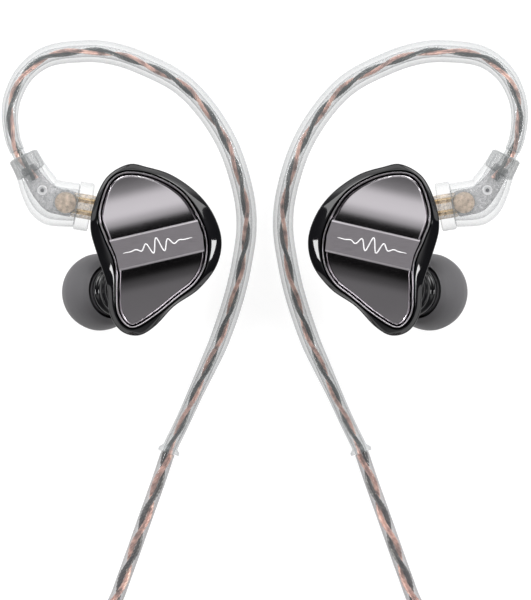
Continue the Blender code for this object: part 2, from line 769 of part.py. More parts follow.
def branch(side_name, side):
    """One side's cord: the seen run, its coil and its lead to the splitter."""
    first = route_points(BRANCH_ROUTE, CORD_SEGMENT)
    second = route_points(LEAD_ROUTE, CORD_SEGMENT)
    cord_material = clear_plastic()
    return [
        wire(f"{side_name}_branch_cord", first, BRANCH_RADIUS, cord_material, side),
        coil_ring(f"{side_name}_branch_coil", BRANCH_COIL, BRANCH_RADIUS, side),
        coil_tie(f"{side_name}_coil_tie", BRANCH_COIL, BRANCH_RADIUS, -math.pi / 2, side),
        wire(f"{side_name}_branch_lead", second, BRANCH_RADIUS, cord_material, side),
    ]


def bore_along_y(name, x, z, radius, low, high):
    return rod(name, radius, (x, 0, z), (0, 1, 0), low, high, segments=16)


def chin_slider():
    wide, long, thick = SLIDER_SIZE
    across = Vector((1, 0, 0))
    rings = []
    for share, size in ((0, 0.86), (0.1, 1.0), (0.5, SLIDER_CROWN), (0.9, 1.0), (1.0, 0.86)):
        centre = (0, SLIDER_REST + share * long, RUN_HEIGHT)
        half = size / SLIDER_CROWN / 2
        rings.append(rounded_section(centre, across, half * wide, half * thick, 20))
    made = loft("chin_slider", rings, clear_plastic())
    bores = [
        bore_along_y(f"slider_cutter_{x:+.0f}", x, RUN_HEIGHT, BRANCH_RADIUS + GAP, SLIDER_REST - 2,
                     SLIDER_REST + long + 2)
        for x in (-BRANCH_SPREAD, BRANCH_SPREAD)
    ]
    cut(made, bores)
    return made


def y_splitter():
    across = Vector((1, 0, 0))
    rings = []
    sections = ((0, 0, 0.9), (0.08, 0, 1), (0.45, 0.1, 1), (0.8, 0.85, 1), (0.95, 1, 1), (1, 1, 0.88))
    for share, narrow, size in sections:
        wide = SPLITTER_WIDTHS[0] + narrow * (SPLITTER_WIDTHS[1] - SPLITTER_WIDTHS[0])
        thick = SPLITTER_THICK[0] + narrow * (SPLITTER_THICK[1] - SPLITTER_THICK[0])
        centre = (0, SPLITTER_TOP - share * SPLITTER_LENGTH, SPLITTER_THICK[0] / 2)
        rings.append(rounded_section(centre, across, size * wide / 2, size * thick / 2, 20))
    made = loft("y_splitter", rings, clear_plastic())
    bottom = SPLITTER_TOP - SPLITTER_LENGTH
    cutters = [
        bore_along_y(f"splitter_cutter_{x:+.0f}", x, RUN_HEIGHT, BRANCH_RADIUS + GAP,
                     SPLITTER_TOP - SOCKET_DEPTH, SPLITTER_TOP + 2)
        for x in (-BRANCH_SPREAD, BRANCH_SPREAD)
    ]
    main_height, main_bore = MAIN_ROUTE[0][2], MAIN_RADIUS + GAP
    seat = bottom + SOCKET_DEPTH + GAP
    cutters.append(bore_along_y("splitter_main_cutter", 0, main_height, main_bore, bottom - 2, seat))
    cut(made, cutters)
    return made


def main_cord():
    return [
        wire("main_cord", route_points(MAIN_ROUTE, CORD_SEGMENT), MAIN_RADIUS, clear_plastic(), 1),
        coil_ring("main_coil", MAIN_COIL, MAIN_RADIUS),
        coil_tie("main_coil_tie", MAIN_COIL, MAIN_RADIUS, math.pi),
        wire("main_lead", route_points(JACK_ROUTE, CORD_SEGMENT), MAIN_RADIUS, clear_plastic(), 1),
    ]


def jack():
    """Strain relief, housing and the three contacts round their insulator, along +Y."""
    origin = (*JACK_PLACE, JACK_HOUSING_RADIUS)
    forward = (0, 1, 0)
    start = JACK_RELIEF_LENGTH + GAP
    shoulder = start + JACK_HOUSING_LENGTH
    tip = shoulder + JACK_LENGTH
    bore = MAIN_RADIUS + GAP
    relief = [
        (bore, 0), (2.0, 0), (2.2, 1.5), (2.9, JACK_RELIEF_LENGTH), (bore, JACK_RELIEF_LENGTH),
    ]
    big = JACK_HOUSING_RADIUS
    seat = JACK_RADIUS + GAP
    housing = [
        (0, start), (big - 0.4, start), (big, start + 0.4), (big, shoulder - 0.5), (big - 0.3, shoulder),
        (seat, shoulder), (seat, shoulder - 3), (0, shoulder - 3),
    ]
    gap_one, gap_two = tip - 8.2, tip - 4.9
    hole = JACK_CORE + GAP
    sleeve = ring_profile(hole, JACK_RADIUS, shoulder - 3 + GAP, gap_one)
    ring = ring_profile(hole, JACK_RADIUS, gap_one + 1.2, gap_two)
    point = [
        (0, gap_two + 1.8), (hole, gap_two + 1.8), (hole, gap_two + 1.2), (JACK_RADIUS, gap_two + 1.2),
        (JACK_RADIUS, gap_two + 1.7), (0.7 * JACK_RADIUS, gap_two + 2.4), (JACK_RADIUS, gap_two + 3.4),
        (0.35 * JACK_RADIUS, tip - 0.1), (0, tip),
    ]
    core, flange = JACK_CORE, JACK_RADIUS - 0.05
    insulator = [
        (0, shoulder - 3 + GAP), (core, shoulder - 3 + GAP), (core, gap_one + GAP), (flange, gap_one + GAP),
        (flange, gap_one + 1.2 - GAP), (core, gap_one + 1.2 - GAP), (core, gap_two + GAP),
        (flange, gap_two + GAP), (flange, gap_two + 1.2 - GAP), (core, gap_two + 1.2 - GAP),
        (core, gap_two + 1.8 - GAP), (0, gap_two + 1.8 - GAP),
    ]
    return [
        turned("jack_strain_relief", relief, black_plastic(), origin, forward, closed=True),
        turned("jack_housing", housing, black_plastic(), origin, forward, segments=28),
        turned("jack_sleeve", sleeve, gold(), origin, forward, closed=True),
        turned("jack_ring", ring, gold(), origin, forward, closed=True),
        turned("jack_tip", point, gold(), origin, forward),
        turned("jack_insulator", insulator, black_plastic(), origin, forward),
    ]


# ---------------------------------------------------------------- assembly


def earphone(side_name, side):
    body = [shell(side_name, side), face_plate(side_name, side), nozzle(side_name, side)]
    body += [nozzle_mesh(side_name, side), *driver(side_name, side), *socket(side_name, side)]
    body.append(driver_lead(side_name, side))
    origin = (side * PLUG_ORIGIN.x, PLUG_ORIGIN.y, PLUG_ORIGIN.z)
    ride_on(body, f"{side_name}_connector_joint", origin)
    ear_tip(side_name, side)


def cable_end(side_name, side):
    plug_housing(side_name, side)
    plug_core(side_name, side)
    pins(side_name, side)
    hook_sleeve(side_name, side)
    hook_wires(side_name, side)
    branch(side_name, side)


def main():
    start_clean()
    for side_name, side in SIDES.items():
        earphone(side_name, side)
        cable_end(side_name, side)
    slider = chin_slider()
    ride_on([slider], "chin_slider_joint", (0, SLIDER_REST, RUN_HEIGHT))
    y_splitter()
    main_cord()
    jack()


main()
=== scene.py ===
# %% [markdown]
# # A pair of in ear monitors with a clear twisted cable
#
# Two gloss black earphones lie face up, each with a polished face plate crossed by a satin band. A clear
# moulded plug and a formed ear hook join each one to its cable. The working parts come in as a fixed frame,
# and this lesson gives every visible piece its fine surface and its finish.
# Lengths are written in millimetres, because that is how a maker reads such small things.

# %% Load the frame
import math

import bpy
import numpy as np
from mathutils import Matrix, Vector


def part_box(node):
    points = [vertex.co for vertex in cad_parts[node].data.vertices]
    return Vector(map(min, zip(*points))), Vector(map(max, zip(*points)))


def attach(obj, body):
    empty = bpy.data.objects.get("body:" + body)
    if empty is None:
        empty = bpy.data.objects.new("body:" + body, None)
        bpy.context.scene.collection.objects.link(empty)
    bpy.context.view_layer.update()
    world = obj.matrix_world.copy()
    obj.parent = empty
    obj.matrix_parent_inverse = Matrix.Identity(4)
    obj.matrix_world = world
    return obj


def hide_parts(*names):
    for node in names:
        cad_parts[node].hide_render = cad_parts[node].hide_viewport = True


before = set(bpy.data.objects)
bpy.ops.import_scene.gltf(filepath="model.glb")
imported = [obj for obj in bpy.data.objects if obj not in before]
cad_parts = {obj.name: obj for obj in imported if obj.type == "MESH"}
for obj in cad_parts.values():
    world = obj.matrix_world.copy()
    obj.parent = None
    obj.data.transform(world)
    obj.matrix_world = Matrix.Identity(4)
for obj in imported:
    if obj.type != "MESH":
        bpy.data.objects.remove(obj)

MM = 0.001
SIDES = {"left": -1, "right": 1}
scene = bpy.context.scene
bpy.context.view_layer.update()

# %% [markdown]
# The frame also tells the heights that everything else hangs on. The rim of the shell, the top of the band
# and the level of the plug are read from it, so that a new surface seats exactly where the old part was.

# %% Heights read from the frame
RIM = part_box("right_shell")[1].z / MM
BAND_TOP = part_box("right_face_plate")[1].z / MM
WIDEST = RIM - 1.85  # the shell is widest a little under its rim
PLATE_TOP = BAND_TOP - 0.6  # the plate's lip, under the raised band
PLUG_LEVEL = sum(corner.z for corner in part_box("right_plug_housing")) / 2 / MM
TIP_REAR = np.array((22.8, -6.3, WIDEST - 9.1))  # the middle of the ear tip's rear opening
print(f"rim {RIM:.2f}, band {BAND_TOP:.2f}, plug {PLUG_LEVEL:.2f} mm over the table")

# %% [markdown]
# A photographer shoots such a pair flat on a light table from straight above, with a long lens so that
# nothing leans. The camera does the same from two metres up.

# %% Camera
CAMERA_HEIGHT = 2.01  # metres, as are the next three
VIEW_TALL = 0.090  # seen from top to bottom, at mid height of the earphones
MID_HEIGHT = 0.010
CAMERA_OVER = (0.000105, -0.00768)
camera = bpy.data.objects.new("camera", bpy.data.cameras.new("camera"))
camera.data.sensor_fit = "VERTICAL"
camera.data.sensor_height = 24.0
camera.data.lens = camera.data.sensor_height * (CAMERA_HEIGHT - MID_HEIGHT) / VIEW_TALL
camera.location = (*CAMERA_OVER, CAMERA_HEIGHT)
scene.collection.objects.link(camera)
scene.camera = camera
print(f"camera: {camera.data.lens:.0f} mm lens")

# %% [markdown]
# ## Tools for surfaces
#
# Every new piece is a surface worked out with arrays. A smooth curve through a few chosen points gives the
# outlines and the cable's routes. A grid of points then becomes a closed mesh.

# %% Curves
def through(points, closed=False, samples=24):
    """A smooth curve: between neighbours b and c, with a before and d after, half of
    2b + (c - a)t + (2a - 5b + 4c - d)t^2 + (3b - a - 3c + d)t^3 for t from 0 to 1."""
    p = np.asarray(points, float)
    if closed:
        p = np.vstack([p[-1], p, p[:2]])
    else:
        p = np.vstack([2 * p[0] - p[1], p, 2 * p[-1] - p[-2]])
    a, b, c, d = (p[k : len(p) - 3 + k, None] for k in range(4))
    t = np.linspace(0, 1, samples, endpoint=False)[None, :, None]
    curve = 0.5 * (2 * b + (c - a) * t + (2 * a - 5 * b + 4 * c - d) * t**2 + (3 * b - a - 3 * c + d) * t**3)
    curve = curve.reshape(-1, p.shape[1])
    return curve if closed else np.vstack([curve, p[-2]])


def length_along(path):
    """The running length of a path at each of its points."""
    return np.concatenate([[0.0], np.cumsum(np.linalg.norm(np.diff(path, axis=0), axis=1))])


def even(curve, count, closed=False):
    """The curve at count evenly spaced points."""
    if closed:
        curve = np.vstack([curve, curve[:1]])
    far = length_along(curve)
    at = np.linspace(0, far[-1], count, endpoint=not closed)
    return np.column_stack([np.interp(at, far, column) for column in curve.T])


def stepped(route, step):
    """Evenly spaced points about a step apart, on the smooth curve through a route."""
    curve = through(route)
    return even(curve, int(length_along(curve)[-1] / step) + 2)


def grown(outline, distance):
    """A closed plan outline moved outwards by a distance, or inwards by a negative one."""
    tangent = np.roll(outline, -1, axis=0) - np.roll(outline, 1, axis=0)
    tangent /= np.linalg.norm(tangent, axis=1)[:, None]
    normal = np.column_stack([tangent[:, 1], -tangent[:, 0]])
    if ((outline - outline.mean(axis=0)) * normal).sum() < 0:
        normal = -normal
    return outline + distance * normal


# %% Grids and meshes
def grid(points, loop=False):
    """Faces over rows of points that close round. With loop the last row joins the first, and without it
    each end row closes to a pole at its mean."""
    rows, columns = points.shape[:2]
    index = np.arange(rows * columns).reshape(rows, columns)
    if loop:
        index = np.vstack([index, index[:1]])
    a, b = index[:-1], index[1:]
    quads = np.stack([a, np.roll(a, -1, axis=1), np.roll(b, -1, axis=1), b], axis=-1).reshape(-1, 4)
    verts = points.reshape(-1, 3)
    if loop:
        return verts, quads, np.zeros((0, 3), int)
    first, last, pole = index[0], index[-1], np.full(columns, len(verts))
    tris = np.vstack([
        np.column_stack([np.roll(first, -1), first, pole]),
        np.column_stack([last, np.roll(last, -1), pole + 1]),
    ])
    return np.vstack([verts, points[[0, -1]].mean(axis=1)]), quads, tris


def joined(parts):
    """Several closed surfaces as one mesh."""
    starts = np.cumsum([0] + [len(verts) for verts, _, _ in parts])
    return (
        np.vstack([verts for verts, _, _ in parts]),
        np.vstack([quads + start for (_, quads, _), start in zip(parts, starts)]),
        np.vstack([tris + start for (_, _, tris), start in zip(parts, starts)]),
    )


def piece(name, surface, finish, side=1, sharp=40):
    """A mesh object from a closed surface, mirrored for the left side. A sixth of the sum of each triangle's
    triple product is the volume, and where that is negative the faces are turned over."""
    verts, quads, tris = surface
    verts = verts * (side, 1, 1)
    corners = np.vstack([quads[:, [0, 1, 2]], quads[:, [0, 2, 3]], tris])
    a, b, c = (verts[corners[:, k]] for k in range(3))
    if (a * np.cross(b, c)).sum() < 0:
        quads, tris = quads[:, ::-1], tris[:, ::-1]
    mesh = bpy.data.meshes.new(name)
    mesh.from_pydata((verts * MM).tolist(), [], quads.tolist() + tris.tolist())
    mesh.shade_smooth()
    mesh.set_sharp_from_angle(angle=math.radians(sharp))
    mesh.materials.append(finish)
    made = bpy.data.objects.new(name, mesh)
    scene.collection.objects.link(made)
    return made


def seat(made, body, slot, *nodes):
    """Ride a piece on its body and let it stand for its CAD nodes, which it hides. The slot is not used."""
    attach(made, body)
    if nodes:
        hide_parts(*nodes)
    return made


def fitted(side_name, body, name, surface, kind, slot, *nodes, sharp=40):
    """A piece of one side, mirrored for the left, that stands for its own side's nodes."""
    made = piece(f"{side_name}_{name}", surface, kind, SIDES[side_name], sharp)
    return seat(made, body, slot, *(f"{side_name}_{node}" for node in nodes))


# %% Tubes and turned shapes
def frames(path):
    """The tangent of a path, and two directions square to it: the tangent crossed with up, and their own
    cross product. They don't twist on a path that never stands upright."""
    tangent = np.gradient(path, axis=0)
    tangent /= np.linalg.norm(tangent, axis=1)[:, None]
    beside = np.cross(tangent, (0, 0, 1))
    beside /= np.linalg.norm(beside, axis=1)[:, None]
    return tangent, beside, np.cross(beside, tangent)


def tube(path, radius, sides=24):
    """Rings round a path: the path + radius (cos a beside + sin a above), a from 0 to a full turn."""
    _, beside, above = frames(path)
    angle = np.linspace(0, math.tau, sides, endpoint=False)[None, :, None]
    radius = np.broadcast_to(radius, len(path))[:, None, None]
    return path[:, None] + radius * (np.cos(angle) * beside[:, None] + np.sin(angle) * above[:, None])


def rounded(profile, radius, closed=False, steps=5):
    """Each corner becomes a short curve, drawn towards it: (1-t)^2 a + 2t(1-t) corner + t^2 b, where a and b
    lie a radius away along the corner's two edges."""
    p = np.array(profile, float)

    def towards(other):
        length = np.maximum(np.linalg.norm(other - p, axis=1), 1e-9)[:, None]
        return p + (other - p) * np.minimum(radius / length, 0.45)

    a, b = towards(np.roll(p, 1, axis=0)), towards(np.roll(p, -1, axis=0))
    t = np.linspace(0, 1, steps)[None, :, None]
    curve = (1 - t) ** 2 * a[:, None] + 2 * t * (1 - t) * p[:, None] + t**2 * b[:, None]
    curve = curve.reshape(-1, p.shape[1])
    return curve if closed else np.vstack([p[:1], curve[steps:-steps], p[-1:]])


def washer(inner, outer, low, high):
    """The four corners of a plain ring's section, as (radius, distance along the axis)."""
    return [(inner, low), (outer, low), (outer, high), (inner, high)]


def turned(profile, origin, axis, closed=False, sides=64, wave=None):
    """A profile of (radius, distance along the axis) carried round the axis. A wave is (count, depth, low,
    high): depth cos(count a) is added to the radius between two distances."""
    axis = np.array(axis, float) / np.linalg.norm(axis)
    across = np.cross(axis, (0.0, 0.0, 1.0) if abs(axis[2]) < 0.9 else (0.0, 1.0, 0.0))
    across /= np.linalg.norm(across)
    other = np.cross(axis, across)
    radius, along = np.array(profile, float).T[:, :, None]
    angle = np.linspace(0, math.tau, sides, endpoint=False)[None, :]
    if wave:
        count, depth, low, high = wave
        radius = radius + depth * np.cos(count * angle) * ((along > low) & (along < high))
    cos, sin = (radius * np.cos(angle))[..., None], (radius * np.sin(angle))[..., None]
    return grid(np.array(origin) + cos * across + sin * other + along[..., None] * axis, loop=closed)


print("tools: curves, grids, tubes and turned shapes")

# %% [markdown]
# ## Finishes
#
# No real surface is one even colour. A moulding has faint waves and a metal has fine marks. One node group
# gives all of them: noise on Object coordinates varies the colour and the roughness, and a finer noise gives
# a height for the bump. Each finish places it with its own values: small ones for a moulding, and large ones
# for the plug's mottled core and for the wires, whose bright and dark patches are painted glints and painted
# shade.

# %% Group: fine variation
def variation_group():
    """Out come colour (1 + spread (noise - 0.5)), roughness + spread (noise - 0.5), and as the height a noise
    nine times as fine."""
    group = bpy.data.node_groups.new("fine variation", "ShaderNodeTree")
    sockets = group.interface
    sockets.new_socket(name="Colour", in_out="INPUT", socket_type="NodeSocketColor")
    for name in ("Colour spread", "Roughness", "Roughness spread", "Scale"):
        sockets.new_socket(name=name, in_out="INPUT", socket_type="NodeSocketFloat")
    sockets.new_socket(name="Colour", in_out="OUTPUT", socket_type="NodeSocketColor")
    for name in ("Roughness", "Height"):
        sockets.new_socket(name=name, in_out="OUTPUT", socket_type="NodeSocketFloat")
    nodes, link = group.nodes, group.links.new
    out = nodes.new("NodeGroupOutput").inputs
    given = nodes.new("NodeGroupInput").outputs
    place = nodes.new("ShaderNodeTexCoord").outputs["Object"]

    def maths(operation, *values):
        """A Math node: a number is set on its socket, and anything else is linked to it."""
        made = nodes.new("ShaderNodeMath")
        made.operation = operation
        for socket, value in zip(made.inputs, values):
            if isinstance(value, float):
                socket.default_value = value
            else:
                link(value, socket)
        return made.outputs[0]

    def noise(times, detail):
        made = nodes.new("ShaderNodeTexNoise")
        made.inputs["Detail"].default_value = detail
        link(place, made.inputs["Vector"])
        link(maths("MULTIPLY", given["Scale"], times), made.inputs["Scale"])
        return made.outputs["Fac"]

    def spread(value, share, centre):
        """centre + share (value - 0.5)"""
        return maths("MULTIPLY_ADD", maths("SUBTRACT", value, 0.5), share, centre)

    broad, fine = noise(1.0, 3.0), noise(9.0, 2.0)
    tint = nodes.new("ShaderNodeVectorMath")
    tint.operation = "SCALE"
    link(given["Colour"], tint.inputs[0])
    link(spread(broad, given["Colour spread"], 1.0), tint.inputs["Scale"])
    link(tint.outputs[0], out["Colour"])
    link(spread(broad, given["Roughness spread"], given["Roughness"]), out["Roughness"])
    link(fine, out["Height"])
    return group


VARIATION = variation_group()
print("group:", VARIATION.name)


# %% Helpers for material nodes
def blank(name, **plain):
    """A new material with its nodes, its link function and its Principled BSDF. Plain values go straight to
    the shader's sockets, with their names' underscores as spaces."""
    made = bpy.data.materials.new(name)
    made.use_nodes = True
    nodes = made.node_tree.nodes
    shader = nodes["Principled BSDF"]
    for socket, value in plain.items():
        shader.inputs[socket.replace("_", " ")].default_value = value
    return made, nodes, made.node_tree.links.new, shader


def add_relief(nodes, link, shader, height, strength, distance=0.0001):
    """A Bump node from a height to the shader's normal."""
    relief = nodes.new("ShaderNodeBump")
    relief.inputs["Strength"].default_value = strength
    relief.inputs["Distance"].default_value = distance
    link(height, relief.inputs["Height"])
    link(relief.outputs["Normal"], shader.inputs["Normal"])


def ranged(nodes, link, value, kind="LINEAR", **ends):
    """A Map Range node's result. The ends that aren't given stay 0 and 1."""
    made = nodes.new("ShaderNodeMapRange")
    made.interpolation_type = kind
    for end, at in ends.items():
        made.inputs[end.replace("_", " ")].default_value = at
    link(value, made.inputs["Value"])
    return made.outputs["Result"]


# %% One maker for every finish
def finish(name, colour, roughness, metallic=0.0, scale=500.0, tint=0.1, rough=0.08, bump=0.0, **plain):
    """A Principled BSDF fed by the variation group. tint and rough are the spreads of the colour and of the
    roughness, and bump is the relief's strength."""
    made, nodes, link, shader = blank(name, Metallic=metallic, **plain)
    varied = nodes.new("ShaderNodeGroup")
    varied.node_tree = VARIATION
    for socket, value in (("Colour", (*colour, 1)), ("Colour spread", tint), ("Roughness", roughness),
                          ("Roughness spread", rough), ("Scale", scale)):
        varied.inputs[socket].default_value = value
    link(varied.outputs["Colour"], shader.inputs["Base Color"])
    link(varied.outputs["Roughness"], shader.inputs["Roughness"])
    if bump:
        add_relief(nodes, link, shader, varied.outputs["Height"], bump)
    return made


gloss_black = finish("gloss_black", (0.006, 0.006, 0.007), 0.05, tint=0.3, rough=0.03, scale=250.0)
polished = finish("polished_gunmetal", (0.60, 0.57, 0.60), 0.1, 1.0, tint=0.05, rough=0.04, scale=300.0)
lip_metal = finish("lip_gunmetal", (0.44, 0.42, 0.44), 0.33, 1.0, tint=0.05)
inlay = finish("pale_inlay", (0.80, 0.79, 0.80), 0.45, tint=0.05)
silicone = finish("grey_silicone", (0.105, 0.102, 0.108), 0.6, tint=0.06, bump=0.15, scale=900.0)
potting = finish("beige_potting", (0.56, 0.43, 0.32), 0.3, tint=2.0, bump=0.5, scale=1800.0)
gold = finish("gold_plate", (0.90, 0.66, 0.33), 0.18, 1.0, tint=0.08)
steel = finish("steel", (0.60, 0.60, 0.61), 0.28, 1.0, bump=0.1)
magnet_grey = finish("dark_magnet", (0.16, 0.16, 0.17), 0.42, 1.0, bump=0.2)
# on both wires the large colour spread paints glints and dark shade along the strands
copper = finish("copper_wire", (0.88, 0.56, 0.47), 0.22, 0.5, tint=3.2, scale=700.0)
silver = finish("silvered_wire", (0.17, 0.17, 0.16), 0.18, 0.9, tint=3.2, scale=700.0)
film = finish("diaphragm_film", (0.50, 0.42, 0.30), 0.32, tint=0.1)
black_plastic = finish("black_plastic", (0.018, 0.018, 0.02), 0.42, bump=0.25, scale=1500.0)
strap_black = finish("woven_strap", (0.02, 0.02, 0.022), 0.85, tint=0.6, bump=0.9, scale=2500.0,
                     Sheen_Weight=0.4)
print(f"{len(bpy.data.materials)} finishes so far")

# %% [markdown]
# Clear plastic this thin hardly bends what lies behind it. What the eye reads is its edge, where the view
# grazes the wall and the plastic turns pale grey, and the gloss. So the alpha grows with Layer Weight's
# facing value. Real refraction would need far more samples, and would hide the wires in the cable.


# %% Clear finishes
def clear(name, colour, low, high, roughness=0.08, tint=0.05, scale=300.0):
    """A clear finish whose alpha runs from low, face on, to high at the edge."""
    made = finish(name, colour, roughness, tint=tint, rough=0.05, scale=scale)
    nodes, link = made.node_tree.nodes, made.node_tree.links.new
    edge = nodes.new("ShaderNodeLayerWeight")
    edge.inputs["Blend"].default_value = 0.35
    alpha = ranged(nodes, link, edge.outputs["Facing"], To_Min=low, To_Max=high)
    link(alpha, nodes["Principled BSDF"].inputs["Alpha"])
    return made


clear_plastic = clear("clear_plastic", (0.44, 0.46, 0.47), 0.11, 0.60)
smoky_plastic = clear("smoky_plastic", (0.30, 0.31, 0.31), 0.26, 0.72)
clear_sleeve = clear("clear_sleeve", (0.34, 0.36, 0.37), 0.15, 0.70)
clear_jacket = clear("clear_jacket", (0.23, 0.225, 0.235), 0.28, 0.82)
core_grey = clear("grey_core", (0.31, 0.30, 0.31), 0.45, 0.85, 0.25, tint=4.5, scale=1900.0)
pin_carrier = clear("beige_carrier", (0.60, 0.48, 0.36), 0.45, 0.70, 0.25, tint=3.5, scale=2600.0)
print("clear finishes: plastics, sleeve, jacket, core and pin carrier")

# %% [markdown]
# ## The cable
#
# Each earphone has its own cord to the splitter, and one thicker cord goes on to the jack. The seen part
# runs straight down from the ear hook. The rest is wound into neat round coils as for storage, with turns a
# diameter apart in two layers.


# %% Routes of the cords
BRANCH_RADIUS, MAIN_RADIUS = 1.05, 1.25
BRANCH_COIL, MAIN_COIL = (24.6, -74.0), (0.0, -132.0)  # the coils' centres in plan
BRANCH_ROUTE = [
    (14.58, -30.75, 1.58), (14.8, -31.3, 1.5), (15.9, -34.6, 1.25), (17.2, -38.25, 1.1), (18.5, -41.9, 1.1),
    (19.8, -45.6, 1.1), (21.1, -49.2, 1.1), (22.5, -52.9, 1.1), (24.4, -56.0, 1.1), (27.6, -58.4, 1.1),
    (31.6, -60.2, 1.1), (34.9, -63.5, 1.08), (36.8, -68.5, 1.06),
]
LEAD_ROUTE = [
    (12.45, -70.0, 3.15), (12.25, -65.6, 3.1), (11.9, -63.4, 2.4), (10.5, -60.6, 1.6), (7.9, -58.9, 1.2),
    (4.8, -59.4, 1.3), (2.6, -62.0, 1.8), (1.8, -65.6, 2.4), (1.8, -74.0, 2.4), (1.8, -83.0, 2.4),
    (1.8, -93.6, 2.4),
]
MAIN_ROUTE = [
    (0.0, -101.0, 2.6), (0.0, -105.6, 2.3), (1.4, -108.2, 1.8), (4.6, -110.4, 1.4), (9.6, -112.9, 1.35),
    (13.6, -116.0, 1.35), (16.9, -121.5, 1.3), (18.1, -127.0, 1.27),
]
JACK_ROUTE = [
    (-4.0, -150.6, 3.7), (-7.2, -151.0, 3.4), (-10.2, -150.9, 2.9), (-14.4, -150.1, 2.0),
    (-19.2, -148.0, 1.45), (-23.6, -144.4, 1.55), (-26.7, -139.8, 2.4), (-28.0, -134.6, 3.5),
    (-28.0, -131.0, 3.6),
]


def coil(centre, outer, down, up, radius, per_turn=20):
    """The centreline of a coil of cord, clockwise from +X as seen from above. Its own radius falls by a
    cord's width a turn for the turns down on the table, dips a little in a quarter turn as the cord climbs
    by its width, and grows again for the turns up on top."""
    gap = 2 * radius
    turns = np.linspace(0, down + 0.25 + up, int((down + 0.25 + up) * per_turn) + 1)
    inner = outer - gap * down
    climb = np.clip((turns - down) / 0.25, 0, 1)
    far = np.where(turns <= down, outer - gap * turns, inner + gap * np.maximum(turns - down - 0.25, 0))
    far = far - 0.12 * gap * np.sin(math.pi * climb)
    lift = np.clip((turns - down + 0.15) / 0.4, 0, 1)
    angle = -math.tau * turns
    return np.column_stack([
        centre[0] + far * np.cos(angle), centre[1] + far * np.sin(angle),
        radius + gap * lift**2 * (3 - 2 * lift),
    ])


branch_turns = coil(BRANCH_COIL, outer=12.6, down=1.25, up=1.0, radius=BRANCH_RADIUS)
main_turns = coil(MAIN_COIL, outer=18.225, down=4.5, up=4.5, radius=MAIN_RADIUS)
branch_path = stepped(np.vstack([BRANCH_ROUTE, branch_turns, LEAD_ROUTE]), 0.6)
main_path = stepped(np.vstack([MAIN_ROUTE, main_turns, JACK_ROUTE]), 0.6)
branch_length, main_length = length_along(branch_path)[-1], length_along(main_path)[-1]
print(f"branch {branch_length:.0f} mm, main {main_length:.0f} mm")

# %% [markdown]
# Inside the clear jacket lie two strands, one of copper and one of silvered copper, twisted round each other
# like a rope with a 10 mm pitch. Each strand is itself five fine wires. They are real geometry, because their
# crossing pattern is what makes this cable look the way it does.


# %% Twisted strands
def strand(path, turn, offset, wires, wire_radius, pitch=10.0, start=0.0, sides=6):
    """Fine wires twisted round a strand's own centre, which itself winds round the path. At length s the
    centre stands offset away at the angle 2 pi s / pitch + turn. The wires stand evenly round it, and go
    round it three times in one pitch."""
    _, beside, above = frames(path)
    far = length_along(path) + start
    angle = math.tau * far / pitch + turn
    centre = path + offset * (np.cos(angle)[:, None] * beside + np.sin(angle)[:, None] * above)
    own = 1.08 * wire_radius / math.sin(math.pi / wires)
    parts = []
    for number in range(wires):
        lay = 3 * math.tau * far / pitch + math.tau * number / wires
        middle = centre + own * (np.cos(lay)[:, None] * beside + np.sin(lay)[:, None] * above)
        around = np.linspace(0, math.tau, sides, endpoint=False)[None, :, None]
        ring = np.cos(around) * beside[:, None] + np.sin(around) * above[:, None]
        parts.append(grid(middle[:, None] + wire_radius * ring))
    return joined(parts)


def strand_pair(label, path, side, offset, wire_radius, start=0.0):
    """The copper and the silvered strand along a path, half a turn apart."""
    made = []
    for metal, name, turn in ((copper, "copper", 0.0), (silver, "silver", math.pi)):
        surface = strand(path, turn, offset, 5, wire_radius, start=start)
        made.append(seat(piece(f"{label}_{name}_strand", surface, metal, side), "cable", "copper"))
    return made


# %% Jackets, strands and what the cords carry
cord_pieces = {}
branch_jacket = grid(tube(branch_path, BRANCH_RADIUS, 20))
for side_name, side in SIDES.items():
    jacket = fitted(side_name, "cable", "cord", branch_jacket, clear_jacket, "clear_cord",
                    "branch_cord", "branch_coil", "branch_lead")
    cord_pieces[side_name] = jacket, strand_pair(f"{side_name}_cord", branch_path, side, 0.43, 0.16)
main_jacket = piece("main_cord_jacket", grid(tube(main_path, MAIN_RADIUS, 20)), clear_jacket)
seat(main_jacket, "cable", "clear_cord", "main_cord", "main_coil", "main_lead")
main_strands = strand_pair("main_cord", main_path, 1, 0.52, 0.19)
print(f"{len(cord_pieces) + 1} cords with their strands")

# %% [markdown]
# A narrow woven strap holds each coil. It is a flat strip carried over the coil and down on both sides, open
# underneath, where the coil lies on the table.


# %% Straps
def strap(centre, middle, reach, top, angle, width=4.5, wall=0.7, foot=0.1):
    """A strip's rounded section, width by wall, carried along a path up, over and down again. The path lies
    in the upright plane that leaves the coil's centre at an angle. It clears a reach to both sides of its
    middle, and a top."""
    half, side = wall / 2, width / 2
    out = np.array((math.cos(angle), math.sin(angle), 0.0))
    along = np.array((-math.sin(angle), math.cos(angle), 0.0))
    leg, over = reach + half, top + half
    line = even(rounded([(-leg, foot), (-leg, over), (leg, over), (leg, foot)], 1.3, steps=8), 60)
    tangent = np.gradient(line, axis=0)
    tangent /= np.linalg.norm(tangent, axis=1)[:, None]
    normal = np.column_stack([-tangent[:, 1], tangent[:, 0]])
    strip = rounded([(-side, -half), (side, -half), (side, half), (-side, half)], 0.3, True)
    base = np.array((*centre, 0.0)) + middle * out
    flat = line[:, None] + strip[None, :, 1:] * normal[:, None]
    return grid(base + flat[..., :1] * out + flat[..., 1:] * (0, 0, 1) + strip[None, :, :1] * along)


